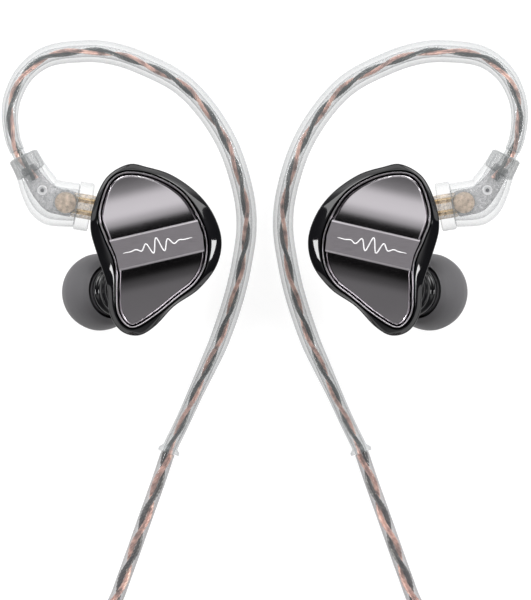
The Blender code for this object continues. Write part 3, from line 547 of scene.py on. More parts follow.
branch_strap = strap(BRANCH_COIL, middle=11.29, reach=2.95, top=4.5, angle=-math.pi / 2)
ties = {
    side_name: fitted(side_name, "cable", "strap", branch_strap, strap_black, "black_plastic", "coil_tie")
    for side_name in SIDES
}
main_strap = strap(MAIN_COIL, middle=12.6, reach=7.62, top=5.3, angle=math.pi)
main_tie = piece("main_strap", main_strap, strap_black)
seat(main_tie, "cable", "black_plastic", "main_coil_tie")
print("three straps")

# %% [markdown]
# ## The splitter and the chin slider
#
# Both are clear mouldings. The slider is a small cushion-shaped block with two bores, and it slides along the
# two cords to draw them together under the chin. In the splitter the four strands gather into two.


# %% Rounded sections
def section(centre, across, half_width, half_thick, count=48, power=2.8):
    """Rows of rounded rectangles: each is centre + w c^(2/power) across + h s^(2/power) up, where c and s are
    the cosine and sine of the angle and keep their signs."""
    angle = np.linspace(0, math.tau, count, endpoint=False)[None, :, None]
    c, s = np.cos(angle), np.sin(angle)
    u = np.sign(c) * np.abs(c) ** (2 / power) * np.asarray(half_width, float).reshape(-1, 1, 1)
    v = np.sign(s) * np.abs(s) ** (2 / power) * np.asarray(half_thick, float).reshape(-1, 1, 1)
    across = np.asarray(across, float).reshape(-1, 1, 3)
    return np.asarray(centre, float).reshape(-1, 1, 3) + u * across + v * (0, 0, 1)


def cut(target, cutters):
    """Take cutters out of a finished piece, keep the result as its mesh and remove the cutters."""
    for cutter in cutters:
        hole = target.modifiers.new("hole", "BOOLEAN")
        hole.operation, hole.solver, hole.object = "DIFFERENCE", "EXACT", cutter
    bpy.context.view_layer.update()
    result = bpy.data.meshes.new_from_object(target.evaluated_get(bpy.context.evaluated_depsgraph_get()))
    target.modifiers.clear()
    target.data = result
    result.shade_smooth()
    result.set_sharp_from_angle(angle=math.radians(40))
    for cutter in cutters:
        bpy.data.objects.remove(cutter, do_unlink=True)
    return target


# %% Slider and splitter
def loft_along_y(stations, level, count):
    """A moulding along Y at one level, through stations of (y, half width, half height)."""
    rows = even(through(stations), count)
    centre = np.column_stack([np.zeros(count), rows[:, 0], np.full(count, level)])
    return grid(section(centre, (1.0, 0, 0), rows[:, 1], rows[:, 2]))


AXIS_Y = (0, 1, 0)
SLIDER_LOW, SLIDER_LONG, SLIDER_LEVEL, CORD_X = -90.6, 8.0, 2.4, 1.8
slider_sizes = ((0, 0.86), (0.04, 0.93), (0.12, 0.97), (0.5, 1.0), (0.88, 0.97), (0.96, 0.93), (1, 0.86))
slider_shape = [(SLIDER_LOW + share * SLIDER_LONG, 3.9 * size, 2.4 * size) for share, size in slider_sizes]
slider = piece("slider", loft_along_y(slider_shape, SLIDER_LEVEL, 40), clear_plastic)
bore = [(BRANCH_RADIUS + 0.3, -100), (BRANCH_RADIUS + 0.3, -70)]
bores = [piece("bore", turned(bore, (x, 0, SLIDER_LEVEL), AXIS_Y, sides=40), clear_plastic)
         for x in (-CORD_X, CORD_X)]
seat(cut(slider, bores), "chin_slider", "clear_plastic", "chin_slider")
splitter_shape = [
    (-91.4, 3.87, 2.34), (-91.9, 4.2, 2.5), (-92.4, 4.3, 2.6), (-95.0, 4.25, 2.6), (-97.1, 4.05, 2.55),
    (-99.5, 3.1, 2.4), (-101.5, 2.7, 2.32), (-103.4, 2.6, 2.3), (-104.0, 2.29, 2.05),
]
splitter = piece("splitter", loft_along_y(splitter_shape, 2.6, 60), clear_plastic)
seat(splitter, "cable", "clear_plastic", "y_splitter")
gathering = stepped([(CORD_X, -93.6, 2.4), (1.7, -95.2, 2.4), (1.1, -97.6, 2.5), (0.35, -100.0, 2.6),
                     (0.1, -101.2, 2.6)], 0.4)
for side_name, side in SIDES.items():
    strand_pair(f"{side_name}_splitter", gathering, side, 0.3, 0.13, branch_length)
print("slider and splitter, with the gathered strands")

# %% [markdown]
# ## The jack
#
# A 3.5 mm stereo plug is a turned thing: a tapered strain relief, a barrel with a fluted grip, and three gold
# contacts held apart by black rings. All are profiles carried round the jack's own axis.

# %% Jack
JACK_PLACE = (-28.0, -134.4, 3.6)
BARREL, SHOULDER, JACK_END = 10.3, 29.3, 43.3  # from the jack's cord end
INSIDE, BORED = SHOULDER - 2.7, SHOULDER - 3.0  # how far the contacts go in, and the barrel's bore
relief = rounded([(1.55, 0.0), (2.0, 0.0), (2.2, 1.5), (2.9, BARREL - 0.3), (1.55, BARREL - 0.3)], 0.35, True)
barrel = rounded([(0.3, BARREL), (3.6, BARREL), (3.6, BARREL + 3.0), (3.45, BARREL + 3.2),
                  (3.45, SHOULDER - 3.2), (3.6, SHOULDER - 3.0), (3.6, SHOULDER), (2.05, SHOULDER),
                  (2.05, BORED), (0.3, BORED)], 0.25)
sleeve = rounded(washer(1.2, 1.75, INSIDE, 35.1), 0.08, True)
ring = rounded(washer(1.2, 1.75, 36.3, 38.4), 0.08, True)
point = through([(1.2, 39.6), (1.74, 39.65), (1.72, 40.1), (1.25, 40.8), (1.5, 41.4), (1.74, 41.9),
                 (1.35, 42.5), (0.75, 43.05), (0.05, JACK_END)], samples=8)
insulator = rounded([(0.3, INSIDE), (0.9, INSIDE), (0.9, 35.4), (1.7, 35.4), (1.7, 36.0), (0.9, 36.0),
                     (0.9, 38.7), (1.7, 38.7), (1.7, 39.3), (0.3, 39.3)], 0.03)
flutes = (48, 0.06, BARREL + 3.4, SHOULDER - 3.4)
for name, profile, closed, kind, slot, wave in (
    ("strain_relief", relief, True, black_plastic, "black_plastic", None),
    ("housing", barrel, False, black_plastic, "black_plastic", flutes),
    ("sleeve", sleeve, True, gold, "gold", None), ("ring", ring, True, gold, "gold", None),
    ("tip", point, False, gold, "gold", None),
    ("insulator", insulator, False, black_plastic, "black_plastic", None),
):
    surface = turned(profile, JACK_PLACE, AXIS_Y, closed, 288 if wave else 64, wave)
    seat(piece(f"plug_{name}", surface, kind), "cable", slot, f"jack_{name}")

for side_name, side in SIDES.items():
    jacket, strands = cord_pieces[side_name]

# %% [markdown]
# ## The earphone shells
#
# The shell is one gloss black moulding. Seen from above it is a bean with a waist, and below its widest line
# it rounds off towards the ear canal. One outline, drawn from a few points, shrinks along a quarter circle
# for the back, and a crowned rim runs up and in to the seat of the face plate.

# %% Shell outline and its rows
SHELL_OUTLINE = [
    (20.4, 12.6), (23.6, 10.7), (25.5, 6.8), (26.05, 3.0), (24.95, -1.2), (23.6, -5.4), (23.2, -9.6),
    (21.5, -12.3), (18.9, -13.0), (16.4, -11.6), (13.5, -8.6), (9.9, -6.1), (7.2, -2.6), (6.45, 1.3),
    (7.7, 5.2), (10.2, 8.4), (13.9, 11.0), (17.6, 12.2),
]
PLATE_OUTLINE = [
    (20.8, 11.5), (23.2, 10.1), (24.5, 7.0), (24.8, 4.2), (23.8, 1.3), (22.4, -2.2), (22.3, -6.0),
    (22.1, -9.4), (20.9, -11.4), (19.2, -11.8), (16.1, -9.9), (13.0, -7.4), (10.2, -5.1), (8.7, -2.0),
    (8.7, 2.0), (10.4, 6.0), (12.8, 8.9), (16.8, 11.0),
]
SHELL_DEEP, SHELL_CENTRE, BACK_LEAN, WALL = 10.0, np.array((16.5, 0.5)), np.array((3.5, -5.0)), 1.2
CROWN, CROWN_POWER = 0.85, 1.3  # height of the sloping rim, and how hollow or full it is
SEAT_GAP, SEAT_DEEP, LEDGE = 0.22, 1.6, 1.0  # round the face plate, under it, and the step that it rests on
AROUND = 180  # points round each outline
shell_line = even(through(SHELL_OUTLINE, True), AROUND, True)
plate_line = even(through(PLATE_OUTLINE, True), AROUND, True)


def at_height(outline, z):
    """A plan outline with every point at the height z."""
    return np.column_stack([outline, np.full(len(outline), z)])


def shell_back(angles, wall):
    """Rows below the widest line: at an angle a the outline shrinks to cos a of itself, lies sin a of the
    depth down, and leans by sin^2 a of the back's shift."""
    rows = []
    for a in angles:
        plan = SHELL_CENTRE + BACK_LEAN * math.sin(a) ** 2 + math.cos(a) * (shell_line - SHELL_CENTRE)
        plan = grown(plan, -wall * math.cos(a)) if wall else plan
        rows.append(at_height(plan, WIDEST - math.sin(a) * (SHELL_DEEP - wall)))
    return rows


def shell_surface():
    """Outside from the back's pole up to the rim, over the crown to the seat, and back down inside. At a
    share s of the way in, the crown lies CROWN (1 - s)^CROWN_POWER under the rim."""
    seat_line = grown(plate_line, SEAT_GAP)
    rows = shell_back(np.linspace(math.radians(88), 0, 30), 0.0)
    for inset, drop in ((0.0, CROWN + 0.1), (-0.02, CROWN + 0.02), (-0.07, CROWN - 0.05)):
        rows.append(at_height(grown(shell_line, inset), RIM - drop))
    edge = grown(shell_line, -0.1)
    for share in np.linspace(0.03, 1.0, 14):
        rows.append(at_height(edge + share * (seat_line - edge), RIM - CROWN * (1 - share) ** CROWN_POWER))
    floor = PLATE_TOP - SEAT_DEEP
    ledge = grown(seat_line, -LEDGE)
    for line, z in ((seat_line, RIM - 0.12), (seat_line, floor), (ledge, floor), (ledge, floor - WALL)):
        rows.append(at_height(line, z))
    rows += shell_back(np.linspace(0.3, math.radians(86), 14), WALL)
    return grid(np.array(rows))


# %% Shells with their windows for the connector and the nozzle
PLUG_TILT = math.radians(9.5)
PLUG_IN = np.array((-math.cos(PLUG_TILT), -math.sin(PLUG_TILT), 0.0))
PLUG_ACROSS = np.array((math.sin(PLUG_TILT), -math.cos(PLUG_TILT), 0.0))
PLUG_ORIGIN = np.array((25.95, 6.15, PLUG_LEVEL))
PIN_X = 0.9  # each pin's distance from the plug's middle
NOZZLE_LEAN = np.array((0.521, -0.050, -0.852))
NOZZLE_AXIS = NOZZLE_LEAN / np.linalg.norm(NOZZLE_LEAN)


def plug_point(along, across=0.0):
    """A point in the connector's own frame: along the pins and across them."""
    return PLUG_ORIGIN + along * PLUG_IN + across * PLUG_ACROSS


def plug_block(along, half_width, half_thick, count, power):
    """A block of rounded rectangles that stand across the connector at distances along it."""
    centre = [plug_point(distance) for distance in along]
    return grid(section(centre, PLUG_ACROSS, half_width, half_thick, count, power))


window = plug_block((-1.2, 5.6), (2.75, 2.75), (2.0, 2.0), 40, 6.0)
nozzle_hole = turned([(2.9, -7), (2.9, 1.5)], TIP_REAR, NOZZLE_AXIS, sides=48)
socket_block = plug_block((0.8, 1.1, 5.0, 5.3), (2.2, 2.4, 2.4, 2.2), (1.5, 1.7, 1.7, 1.5), 40, 5.0)
pin_bores = [turned([(0.72, -1), (0.72, 8)], plug_point(0, x), PLUG_IN, sides=32) for x in (-PIN_X, PIN_X)]
for side_name, side in SIDES.items():
    for name, surface, kind, slot, node, holes in (
        ("housing", shell_surface(), gloss_black, "gloss_black", "shell", (window, nozzle_hole)),
        ("socket", socket_block, black_plastic, "black_plastic", "socket_block", pin_bores),
    ):
        made = piece(f"{side_name}_{name}", surface, kind, side)
        cut(made, [piece("hole", hole, kind, side) for hole in holes])
        seat(made, f"{side_name}_earphone", slot, f"{side_name}_{node}")
        print(f"{made.name}: {len(made.data.vertices)} points")

# %% [markdown]
# ## The face plates
#
# The plate is polished gunmetal. A satin band crosses it at 13 degrees, and on both sides of the band the
# metal is scooped: it lies flat at the band's foot and curves up to the rim. That curve is what draws the
# soft bright stripe. The rows of the grid run along the band, so that its edges stay crisp.

# %% Rows across the plate, parallel to the band
TILT = math.radians(13.0)


def to_band(plan):
    """(along the band, across it) of plan points: the plan turned by the tilt."""
    return plan @ np.array(((math.cos(TILT), math.sin(TILT)), (-math.sin(TILT), math.cos(TILT))))


def from_band(u, v):
    """Plan points of (along, across): the same turn back."""
    return np.stack([u * math.cos(TILT) + v * math.sin(TILT), -u * math.sin(TILT) + v * math.cos(TILT)], -1)


RIPPLE_MIDDLE, BAND_MIDDLE = to_band(np.array((16.0, 0.45)))
BAND_LOW, BAND_HIGH = BAND_MIDDLE - 2.45, BAND_MIDDLE + 2.45


def chords(outline, across):
    """Where lines at these distances across the band enter and leave the outline."""
    ring = to_band(outline)
    ring = np.roll(ring, -int(ring[:, 1].argmin()), axis=0)
    top = int(ring[:, 1].argmax())
    ends = []
    for chain in (ring[: top + 1], np.vstack([ring[top:], ring[:1]])[::-1]):
        ends.append(np.interp(across, np.maximum.accumulate(chain[:, 1]), chain[:, 0]))
    return np.array(ends)


def pillow(outline, across, top_height, bottom_height, columns=48):
    """A closed solid under a height field. Each row is a chord of the outline with its points crowded to the
    ends, out along the top and back along the bottom. top_height gets the distance across the band and
    the distance to the outline."""
    left, right = chords(outline, across)
    share = 0.5 * (1 - np.cos(np.linspace(0, math.pi, columns)))[None, :]
    u = left[:, None] + share * (right - left)[:, None]
    v = np.broadcast_to(across[:, None], u.shape)
    plan = from_band(u, v)
    dense = even(outline, 500, True)
    near = np.sqrt(((plan[:, :, None] - dense) ** 2).sum(-1)).min(-1)
    top = np.concatenate([plan, top_height(v, near)[..., None]], -1)
    bottom = np.concatenate([plan, np.broadcast_to(bottom_height, u.shape)[..., None]], -1)
    return grid(np.concatenate([top, bottom[:, ::-1]], axis=1))


# %% Scooped face, lip and band
SCOOP_DEEP, SCOOP_RISE = 1.35, 1.15
FACE_INSET, BAND_INSET, CHAMFER = 0.56, 0.52, 0.3
face_line = grown(plate_line, -FACE_INSET)
band_line = grown(plate_line, -BAND_INSET)
face_v = to_band(face_line)[:, 1]
FACE_LOW, FACE_HIGH = face_v.min() + 0.01, face_v.max() - 0.01


def scoop(v, near):
    """Flat at the band's foot, then the rise times s^1.9 for s from 0 there to 1 at the plate's end, with a
    small rounding down at the outline."""
    upper = np.clip((v - BAND_HIGH) / (FACE_HIGH - BAND_HIGH), 0, 1)
    lower = np.clip((BAND_LOW - v) / (BAND_LOW - FACE_LOW), 0, 1)
    height = PLATE_TOP - SCOOP_DEEP + SCOOP_RISE * (upper + lower) ** 1.9
    return height - 0.2 * (1 - np.clip(near / 0.25, 0, 1)) ** 2


def face_surface():
    """The scooped plate under its height field, with the rows crowded towards the rim."""
    curve = 1 - np.cos(np.linspace(0, math.pi / 2, 34))
    lower = FACE_LOW + (BAND_LOW - FACE_LOW) * curve
    upper = FACE_HIGH - (FACE_HIGH - BAND_HIGH) * curve[::-1]
    return pillow(face_line, np.concatenate([lower, upper]), scoop, PLATE_TOP - 2.1)


def band_surface():
    """A flat bar with a chamfer along its two sides, its ends on the outline. Its outermost rows and points
    drop into the plate, which closes the sides."""
    across = np.array((BAND_LOW, BAND_LOW + 0.02, BAND_LOW + CHAMFER, BAND_MIDDLE, BAND_HIGH - CHAMFER,
                       BAND_HIGH - 0.02, BAND_HIGH))

    def height(v, near):
        inside = np.minimum(v - BAND_LOW, BAND_HIGH - v)
        return BAND_TOP - np.maximum(CHAMFER - inside, 0) - 1.2 * (np.minimum(inside, near) < 0.01)

    return pillow(band_line, across, height, PLATE_TOP - 1.5)


def lip_surface():
    """A narrow raised ring carried round the plate's edge."""
    corners = [(0.0, -1.3), (0.0, -0.1), (-0.1, 0.0), (-0.2, 0.0), (-0.3, -0.16), (-0.3, -1.3)]
    profile = rounded(corners, 0.06, True)
    rows = [at_height(grown(plate_line, inset), PLATE_TOP + z) for inset, z in profile]
    return grid(np.array(rows), loop=True)


# %% Satin for the band
def satin_metal():
    """Gunmetal brushed along the band: noise stretched along it gives colour, roughness and bump."""
    made, nodes, link, shader = blank("satin_gunmetal", Metallic=0.9)
    stretch = nodes.new("ShaderNodeMapping")
    stretch.inputs["Scale"].default_value = (600, 9000, 9000)
    link(nodes.new("ShaderNodeTexCoord").outputs["Object"], stretch.inputs["Vector"])
    lines = nodes.new("ShaderNodeTexNoise")
    lines.inputs["Scale"].default_value = 1.0
    lines.inputs["Detail"].default_value = 3.0
    link(stretch.outputs["Vector"], lines.inputs["Vector"])
    grain = lines.outputs["Fac"]
    link(ranged(nodes, link, grain, To_Min=0.42, To_Max=0.55), shader.inputs["Roughness"])
    shade = nodes.new("ShaderNodeValToRGB")
    shade.color_ramp.elements[0].color = (0.205, 0.192, 0.205, 1)
    shade.color_ramp.elements[1].color = (0.265, 0.248, 0.265, 1)
    link(grain, shade.inputs["Fac"])
    link(shade.outputs["Color"], shader.inputs["Base Color"])
    add_relief(nodes, link, shader, grain, 0.12, 0.00005)
    return made


satin = satin_metal()

# %% [markdown]
# The band carries a plain ornament: a fine raised line that ripples in the middle and runs out straight to
# both sides. It is a pattern and not a sign, so it says nothing.

# %% Plates on both sides
def ripple_surface():
    """A fine line along the band: its height across is 1.15 cos(2 pi u / 1.75) e^-(u / 2.2)^2, and it thins
    out towards its ends."""
    half = 5.3
    u = np.linspace(-half, half, 360)
    v = BAND_MIDDLE + 1.15 * np.cos(math.tau * u / 1.75) * np.exp(-((u / 2.2) ** 2))
    line = np.column_stack([from_band(u + RIPPLE_MIDDLE, v), np.full(len(u), BAND_TOP + 0.01)])
    return grid(tube(line, 0.1 * np.sqrt(np.clip(1.02 - (u / half) ** 6, 0.02, 1)), 10))


def polish_slopes(made, slope_finish, level=0.97):
    """Give a second finish to the faces that don't look straight up."""
    facing = np.empty(3 * len(made.data.polygons), np.float32)
    made.data.polygons.foreach_get("normal", facing)
    made.data.materials.append(slope_finish)
    made.data.polygons.foreach_set("material_index", (facing[2::3] < level).astype(np.int32))


for side_name in SIDES:
    body = f"{side_name}_earphone"
    plate = fitted(side_name, body, "plate", face_surface(), polished, "gunmetal", "face_plate")
    fitted(side_name, body, "plate_lip", lip_surface(), lip_metal, "gunmetal")
    band = fitted(side_name, body, "plate_band", band_surface(), satin, "gunmetal", sharp=25)
    polish_slopes(band, polished)
    fitted(side_name, body, "ripple", ripple_surface(), inlay, "gunmetal")
print(f"face plates: {len(plate.data.vertices)} points each")

# %% [markdown]
# ## Nozzles and ear tips
#
# The sound nozzle slants down and outwards. A soft silicone ear tip sits on it: a thin umbrella whose skirt
# turns back round a stem. Both are turned shapes on the nozzle's axis, the tip with its wall and its hollow.

# %% Nozzle and ear tip
TIP_RADIUS, TIP_LONG, TUBE_RADIUS = 5.78, 8.9, 2.55
OUTER_TIP = [(0.73, 0.0), (0.875, 0.1), (0.965, 0.25), (1.0, 0.42), (0.985, 0.53), (0.91, 0.68),
             (0.78, 0.82), (0.6, 0.93), (0.45, 0.99), (0.37, 1.0)]  # shares of the radius and the length
tip_out = through([(r * TIP_RADIUS, s * TIP_LONG) for r, s in OUTER_TIP], samples=6)
tip_in = through([(1.8, 8.5), (1.8, 7.9), (2.6, 7.6), (3.05, 7.3), (3.05, 0.5), (3.4, 0.25), (3.75, 0.5),
                  (3.75, 4.4), (4.1, 5.2), (4.65, 5.1), (5.0, 3.8), (4.85, 1.8), (4.1, 0.3)], samples=6)
tip = turned(np.vstack([tip_out, tip_in]), TIP_REAR, NOZZLE_AXIS, True, 96)
nozzle_profile = rounded([
    (3.6, -4.0), (3.3, -2.4), (3.3, -1.5), (3.85, -1.2), (3.85, -0.4), (TUBE_RADIUS, -0.3),
    (TUBE_RADIUS, 6.3), (2.75, 6.6), (2.75, 7.1), (TUBE_RADIUS, 7.3), (1.95, 7.3), (1.95, -3.6),
], 0.3, True)
nozzle = turned(nozzle_profile, TIP_REAR, NOZZLE_AXIS, True)
for side_name in SIDES:
    fitted(side_name, f"{side_name}_ear_tip", "tip", tip, silicone, "grey_silicone", "ear_tip")
    fitted(side_name, f"{side_name}_earphone", "sound_nozzle", nozzle, gloss_black, "gunmetal", "nozzle")
print(f"nozzles and ear tips, {2 * TIP_RADIUS:.1f} mm wide")

# %% [markdown]
# ## Plugs and ear hooks
#
# The plug is a clear moulding: a collar that seats on the shell, and an arm that bends up into the hook. Two
# gold pins stand in a beige carrier. Behind it a grey core fills the arm, with a small rivet and a round boss
# full of potting. A smoky collar ends the arm, and a short clear ferrule leads the strands into it. The hook
# is a formed clear sleeve, with the twisted strands running through it.

# %% Plug mouldings
PLUG_SECTIONS = [
    ((30.8, 10.3), (31.9, 3.4), 2.3), ((31.2, 10.7), (33.6, 4.0), 2.3), ((31.8, 11.4), (35.2, 5.5), 2.2),
    ((32.4, 12.2), (36.4, 8.0), 2.1), ((33.1, 13.2), (37.2, 10.7), 2.0), ((34.2, 15.0), (38.3, 13.0), 2.0),
]


def station(centre, across, half_width, half_thick):
    """One section of a moulding, as a row of eight numbers."""
    return np.concatenate([centre, across, [half_width, half_thick]])


def arm_stations():
    """The arm's sections, each across the line between its upper and its lower edge point."""
    rows = [station(plug_point(-2.1), PLUG_ACROSS, 3.3, 2.25)]
    for upper, lower, half_thick in PLUG_SECTIONS:
        a, b = np.array((*upper, PLUG_LEVEL)), np.array((*lower, PLUG_LEVEL))
        wide = np.linalg.norm(b - a)
        rows.append(station((a + b) / 2, (b - a) / wide, wide / 2, half_thick))
    return np.array(rows)


def lofted(stations, wide=1.0, thick=1.0, count=60, ends=0.25):
    """A moulding through stations. wide and thick scale its sections, and its two ends are rounded over a
    short length."""
    rows = even(through(stations), count)
    far = length_along(rows[:, :3])
    edge = np.clip(np.minimum(far, far[-1] - far) / ends, 0, 1)
    size = 0.86 + 0.14 * np.sqrt(1 - (1 - edge) ** 2)
    return grid(section(rows[:, :3], rows[:, 3:6], wide * size * rows[:, 6], thick * size * rows[:, 7]))


collar = np.array([station(plug_point(-along), PLUG_ACROSS, 3.65, 2.5) for along in (0, 0.8, 1.5, 2.3)])
arm = arm_stations()
END_COLLAR = 0.35  # share of the way back, past the arm's last section but one, where its end collar starts
end_collar = arm[-2:].copy()
end_collar[0, :3] = END_COLLAR * arm[-3, :3] + (1 - END_COLLAR) * arm[-2, :3]
CORE_LINE = [(28.6, 6.6, 1.9), (29.8, 6.9, 2.0), (31.8, 7.4, 1.95), (33.3, 8.8, 1.65), (34.5, 10.5, 1.4),
             (35.5, 12.3, 1.2)]


def core_stations():
    """The core's sections, square to its line of (x, y, half width) and half as thick as they are wide."""
    line = np.array(CORE_LINE)
    ahead = np.gradient(line[:, :2], axis=0)
    ahead /= np.linalg.norm(ahead, axis=1)[:, None]
    centre = np.column_stack([line[:, :2], np.full(len(line), PLUG_LEVEL)])
    across = np.column_stack([ahead[:, 1], -ahead[:, 0], np.zeros(len(line))])
    return np.column_stack([centre, across, line[:, 2], 0.5 * line[:, 2]])


# %% What the plugs hold
UP = (0, 0, 1)
RIVET, BOSS = (33.3, 8.75, PLUG_LEVEL + 0.75), (29.8, 6.9, PLUG_LEVEL + 1.0)
moulding = joined([lofted(collar, count=24), lofted(arm), lofted(arm, 0.72, 0.74)])  # with an inner wall
carrier = plug_block((-2.9, -2.6, 0.3, 0.5), (1.7, 1.85, 1.85, 1.7), (0.9, 1.1, 1.1, 0.9), 32, 4.0)
rivet = rounded([(0.05, 0.0), (0.75, 0.0), (0.75, 0.25), (0.5, 0.25), (0.4, 0.1), (0.05, 0.1)], 0.06)
rivet_middle = [(0.02, 0.0), (0.28, 0.0), (0.28, 0.32), (0.02, 0.36)]
boss = rounded(washer(1.66, 1.84, 0.0, 0.45), 0.06, True)
fill = rounded([(0.1, 0.0), (1.6, 0.0), (1.6, 0.25), (0.1, 0.3)], 0.08)
pin = rounded([(0.02, -3.0), (0.39, -3.0), (0.39, 4.2), (0.22, 4.6), (0.02, 4.6)], 0.12)
upper_pin, lower_pin = (turned(pin, plug_point(0, x), PLUG_IN, sides=32) for x in (-PIN_X, PIN_X))
for side_name in SIDES:
    for row in (
        ("plug_moulding", moulding, clear_plastic, "clear_plastic", "plug_housing"),
        ("moulded_core", lofted(core_stations()), core_grey, "grey_core", "plug_core"),
        ("end_collar", lofted(end_collar, 0.98, 1.04, count=16), smoky_plastic, "clear_plastic"),
        ("core_rivet", turned(rivet, RIVET, UP), inlay, "steel"),
        ("pin_carrier", carrier, pin_carrier, "clear_plastic"),
        ("rivet_middle", turned(rivet_middle, RIVET, UP), magnet_grey, "steel"),
        ("boss", turned(boss, BOSS, UP, True), smoky_plastic, "grey_core"),
        ("potting", turned(fill, BOSS, UP), potting, "film"),
        ("contact_pin_upper", upper_pin, gold, "gold", "pin_upper"),
        ("contact_pin_lower", lower_pin, gold, "gold", "pin_lower"),
    ):
        fitted(side_name, "cable", *row)
print("plugs with cores, bosses and pins")

# %% Ear hooks
HOOK_ROUTE = [
    (37.05, 14.6, 1.00), (37.75, 16.6, 1.00), (38.15, 19.9, 0.98), (37.6, 23.1, 0.96), (35.7, 26.5, 0.93),
    (32.2, 28.9, 0.89), (26.8, 29.6, 0.82), (22.8, 29.25, 0.76), (18.6, 27.9, 0.69), (12.9, 25.0, 0.58),
    (8.8, 20.9, 0.48), (5.4, 15.3, 0.38), (3.3, 8.7, 0.29), (2.75, 3.4, 0.23), (3.4, -1.8, 0.18),
    (4.6, -7.1, 0.13), (6.7, -13.4, 0.08), (8.5, -17.5, 0.05), (10.4, -21.6, 0.03), (12.2, -25.6, 0.01),
    (14.1, -29.5, 0.0), (14.55, -30.7, 0.0),
]
HOOK_END = 1.6  # level at the hook's cord end; the third number above is a share of the way to the plug's
HOOK_RADII = [(0.0, 1.12), (0.12, 1.45), (0.25, 1.7), (0.6, 1.55), (0.8, 1.5), (0.91, 1.15), (1.0, 1.12)]
HOOK_BORE, FLANGE = 0.9, 0.5
hook_route = [(x, y, HOOK_END + share * (PLUG_LEVEL - HOOK_END)) for x, y, share in HOOK_ROUTE]
hook_path = stepped(hook_route, 0.5)
FERRULE_ROUTE = [
    (34.3, 10.4, PLUG_LEVEL + 0.9), (35.1, 11.6, PLUG_LEVEL + 0.9), (36.2, 13.1, PLUG_LEVEL + 0.5),
]
wire_path = stepped([*FERRULE_ROUTE, *hook_route], 0.5)
ferrule = grid(tube(stepped([*FERRULE_ROUTE, hook_route[0]], 0.3), 0.98))


def sleeve_surface():
    """A tube with a bore. Its outer radius follows the hook's radii, smoothed, and swells into a thin flange
    at its very end."""
    far = length_along(hook_path)
    radii = through(HOOK_RADII, samples=30)
    outer = np.interp(far / far[-1], radii[:, 0], radii[:, 1]) + FLANGE * (far > far[-1] - FLANGE)
    return grid(np.vstack([tube(hook_path, outer, 28), tube(hook_path, HOOK_BORE, 28)[::-1]]), loop=True)


# the twist starts so that it runs on into the cord without a break
twist_start = -length_along(wire_path)[-1]
for side_name, side in SIDES.items():
    fitted(side_name, "cable", "sleeve", sleeve_surface(), clear_sleeve, "clear_plastic", "hook_sleeve")
    fitted(side_name, "cable", "ferrule", ferrule, clear_sleeve, "clear_plastic")
    wires = strand_pair(f"{side_name}_hook", wire_path, side, 0.29, 0.118, twist_start)
    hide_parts(f"{side_name}_hook_wires")
print(f"ear hooks: {length_along(hook_path)[-1]:.0f} mm of sleeve")

# %% [markdown]
# ## What is left showing of the frame
#
# The drivers, the nozzle meshes, the socket contacts and the leads keep their working shapes. They only need
# their metals and plastics, in the same finishes as the pieces around them.

# %% Finishes for the working parts
INNER = {"nozzle_mesh": steel, "driver_frame": steel, "driver_magnet": magnet_grey, "voice_coil": copper,
         "diaphragm": film, "driver_lead": copper, "socket_contact_upper": gold, "socket_contact_lower": gold}
for side_name in SIDES:
    for part, inner_finish in INNER.items():
        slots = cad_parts[f"{side_name}_{part}"].data.materials
        slots.clear()
        slots.append(inner_finish)
print(f"{2 * len(INNER)} working parts painted")

# %% [markdown]
# ## Studio
#
# A light table and a tent: the floor is pale, and the tent is a smooth ramp of light from front to back. It
# is dark straight overhead, bright a little to the front and grey behind, because polished scoops show
# exactly that: a bright stripe with a black foot. Low at the back it is brightest. Small soft boxes stand at
# the sides, larger ones behind.

# %% Floor
bpy.ops.mesh.primitive_plane_add(size=3.0, location=(0, 0, -0.00002))
floor = bpy.context.object
floor.name = "floor"
paper = blank("paper", Base_Color=(0.30, 0.30, 0.30, 1), Roughness=0.9, Emission_Color=(1, 1, 1, 1),
              Emission_Strength=0.80)[0]
floor.data.materials.append(paper)

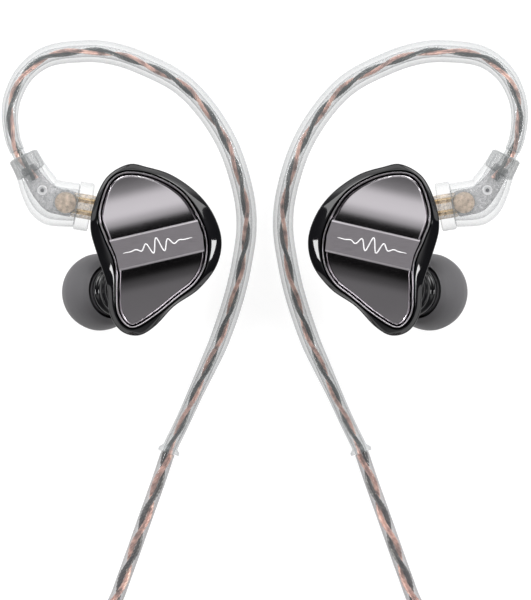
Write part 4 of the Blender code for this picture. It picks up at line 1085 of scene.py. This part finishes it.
# %% Tent
world = bpy.data.worlds.new("tent")
world.use_nodes = True
scene.world = world
nodes, link = world.node_tree.nodes, world.node_tree.links.new
parts = nodes.new("ShaderNodeSeparateXYZ")
link(nodes.new("ShaderNodeTexCoord").outputs["Generated"], parts.inputs[0])
ramp = nodes.new("ShaderNodeValToRGB")
ramp.color_ramp.interpolation = "EASE"
# brightness by the direction's Y: -1 is the front, 1 the back, 0 straight up
TENT = [(-1.0, 0.50), (-0.60, 0.08), (-0.43, 0.16), (-0.36, 0.28), (-0.275, 0.95), (-0.19, 1.0),
        (-0.125, 0.60), (-0.065, 0.005), (0.09, 0.005), (0.17, 0.09), (0.25, 0.20), (0.5, 0.20),
        (0.64, 2.0), (0.75, 3.0), (1.0, 3.2)]
for place, value in TENT:
    stop = ramp.color_ramp.elements.new((place + 1) / 2)
    stop.color = (value, value, value, 1)
for spare in (0, -1):  # the two stops that a new ramp comes with
    ramp.color_ramp.elements.remove(ramp.color_ramp.elements[spare])
link(ranged(nodes, link, parts.outputs["Y"], From_Min=-1.0), ramp.inputs["Fac"])
# towards the sides, as X passes 0.5 to either side, the tent fades nearly to black
aside = nodes.new("ShaderNodeMath")
aside.operation = "ABSOLUTE"
link(parts.outputs["X"], aside.inputs[0])
fade = ranged(nodes, link, aside.outputs[0], "SMOOTHSTEP",
              From_Min=0.50, From_Max=0.80, To_Min=1.0, To_Max=0.03)
link(ramp.outputs["Color"], nodes["Background"].inputs["Color"])
link(fade, nodes["Background"].inputs["Strength"])

# %% Soft boxes
def soft_box(name, place, size, power):
    """A square area light that looks at the object."""
    lamp = bpy.data.lights.new(name, "AREA")
    lamp.size = size
    lamp.energy = power
    box = bpy.data.objects.new(name, lamp)
    box.location = place
    aim = -np.array(place) / np.linalg.norm(place)
    box.rotation_euler = (math.acos(-aim[2]), 0, math.atan2(aim[1], aim[0]) - math.pi / 2)
    scene.collection.objects.link(box)


for x in (-1, 1):
    soft_box(f"side_box_{x:+d}", (0.8 * x, -0.04, 0.72), size=0.25, power=3.6)
    soft_box(f"back_box_{x:+d}", (0.47 * x, 0.60, 0.62), size=0.56, power=4.4)
scene.view_settings.view_transform = "Standard"
print("studio ready")
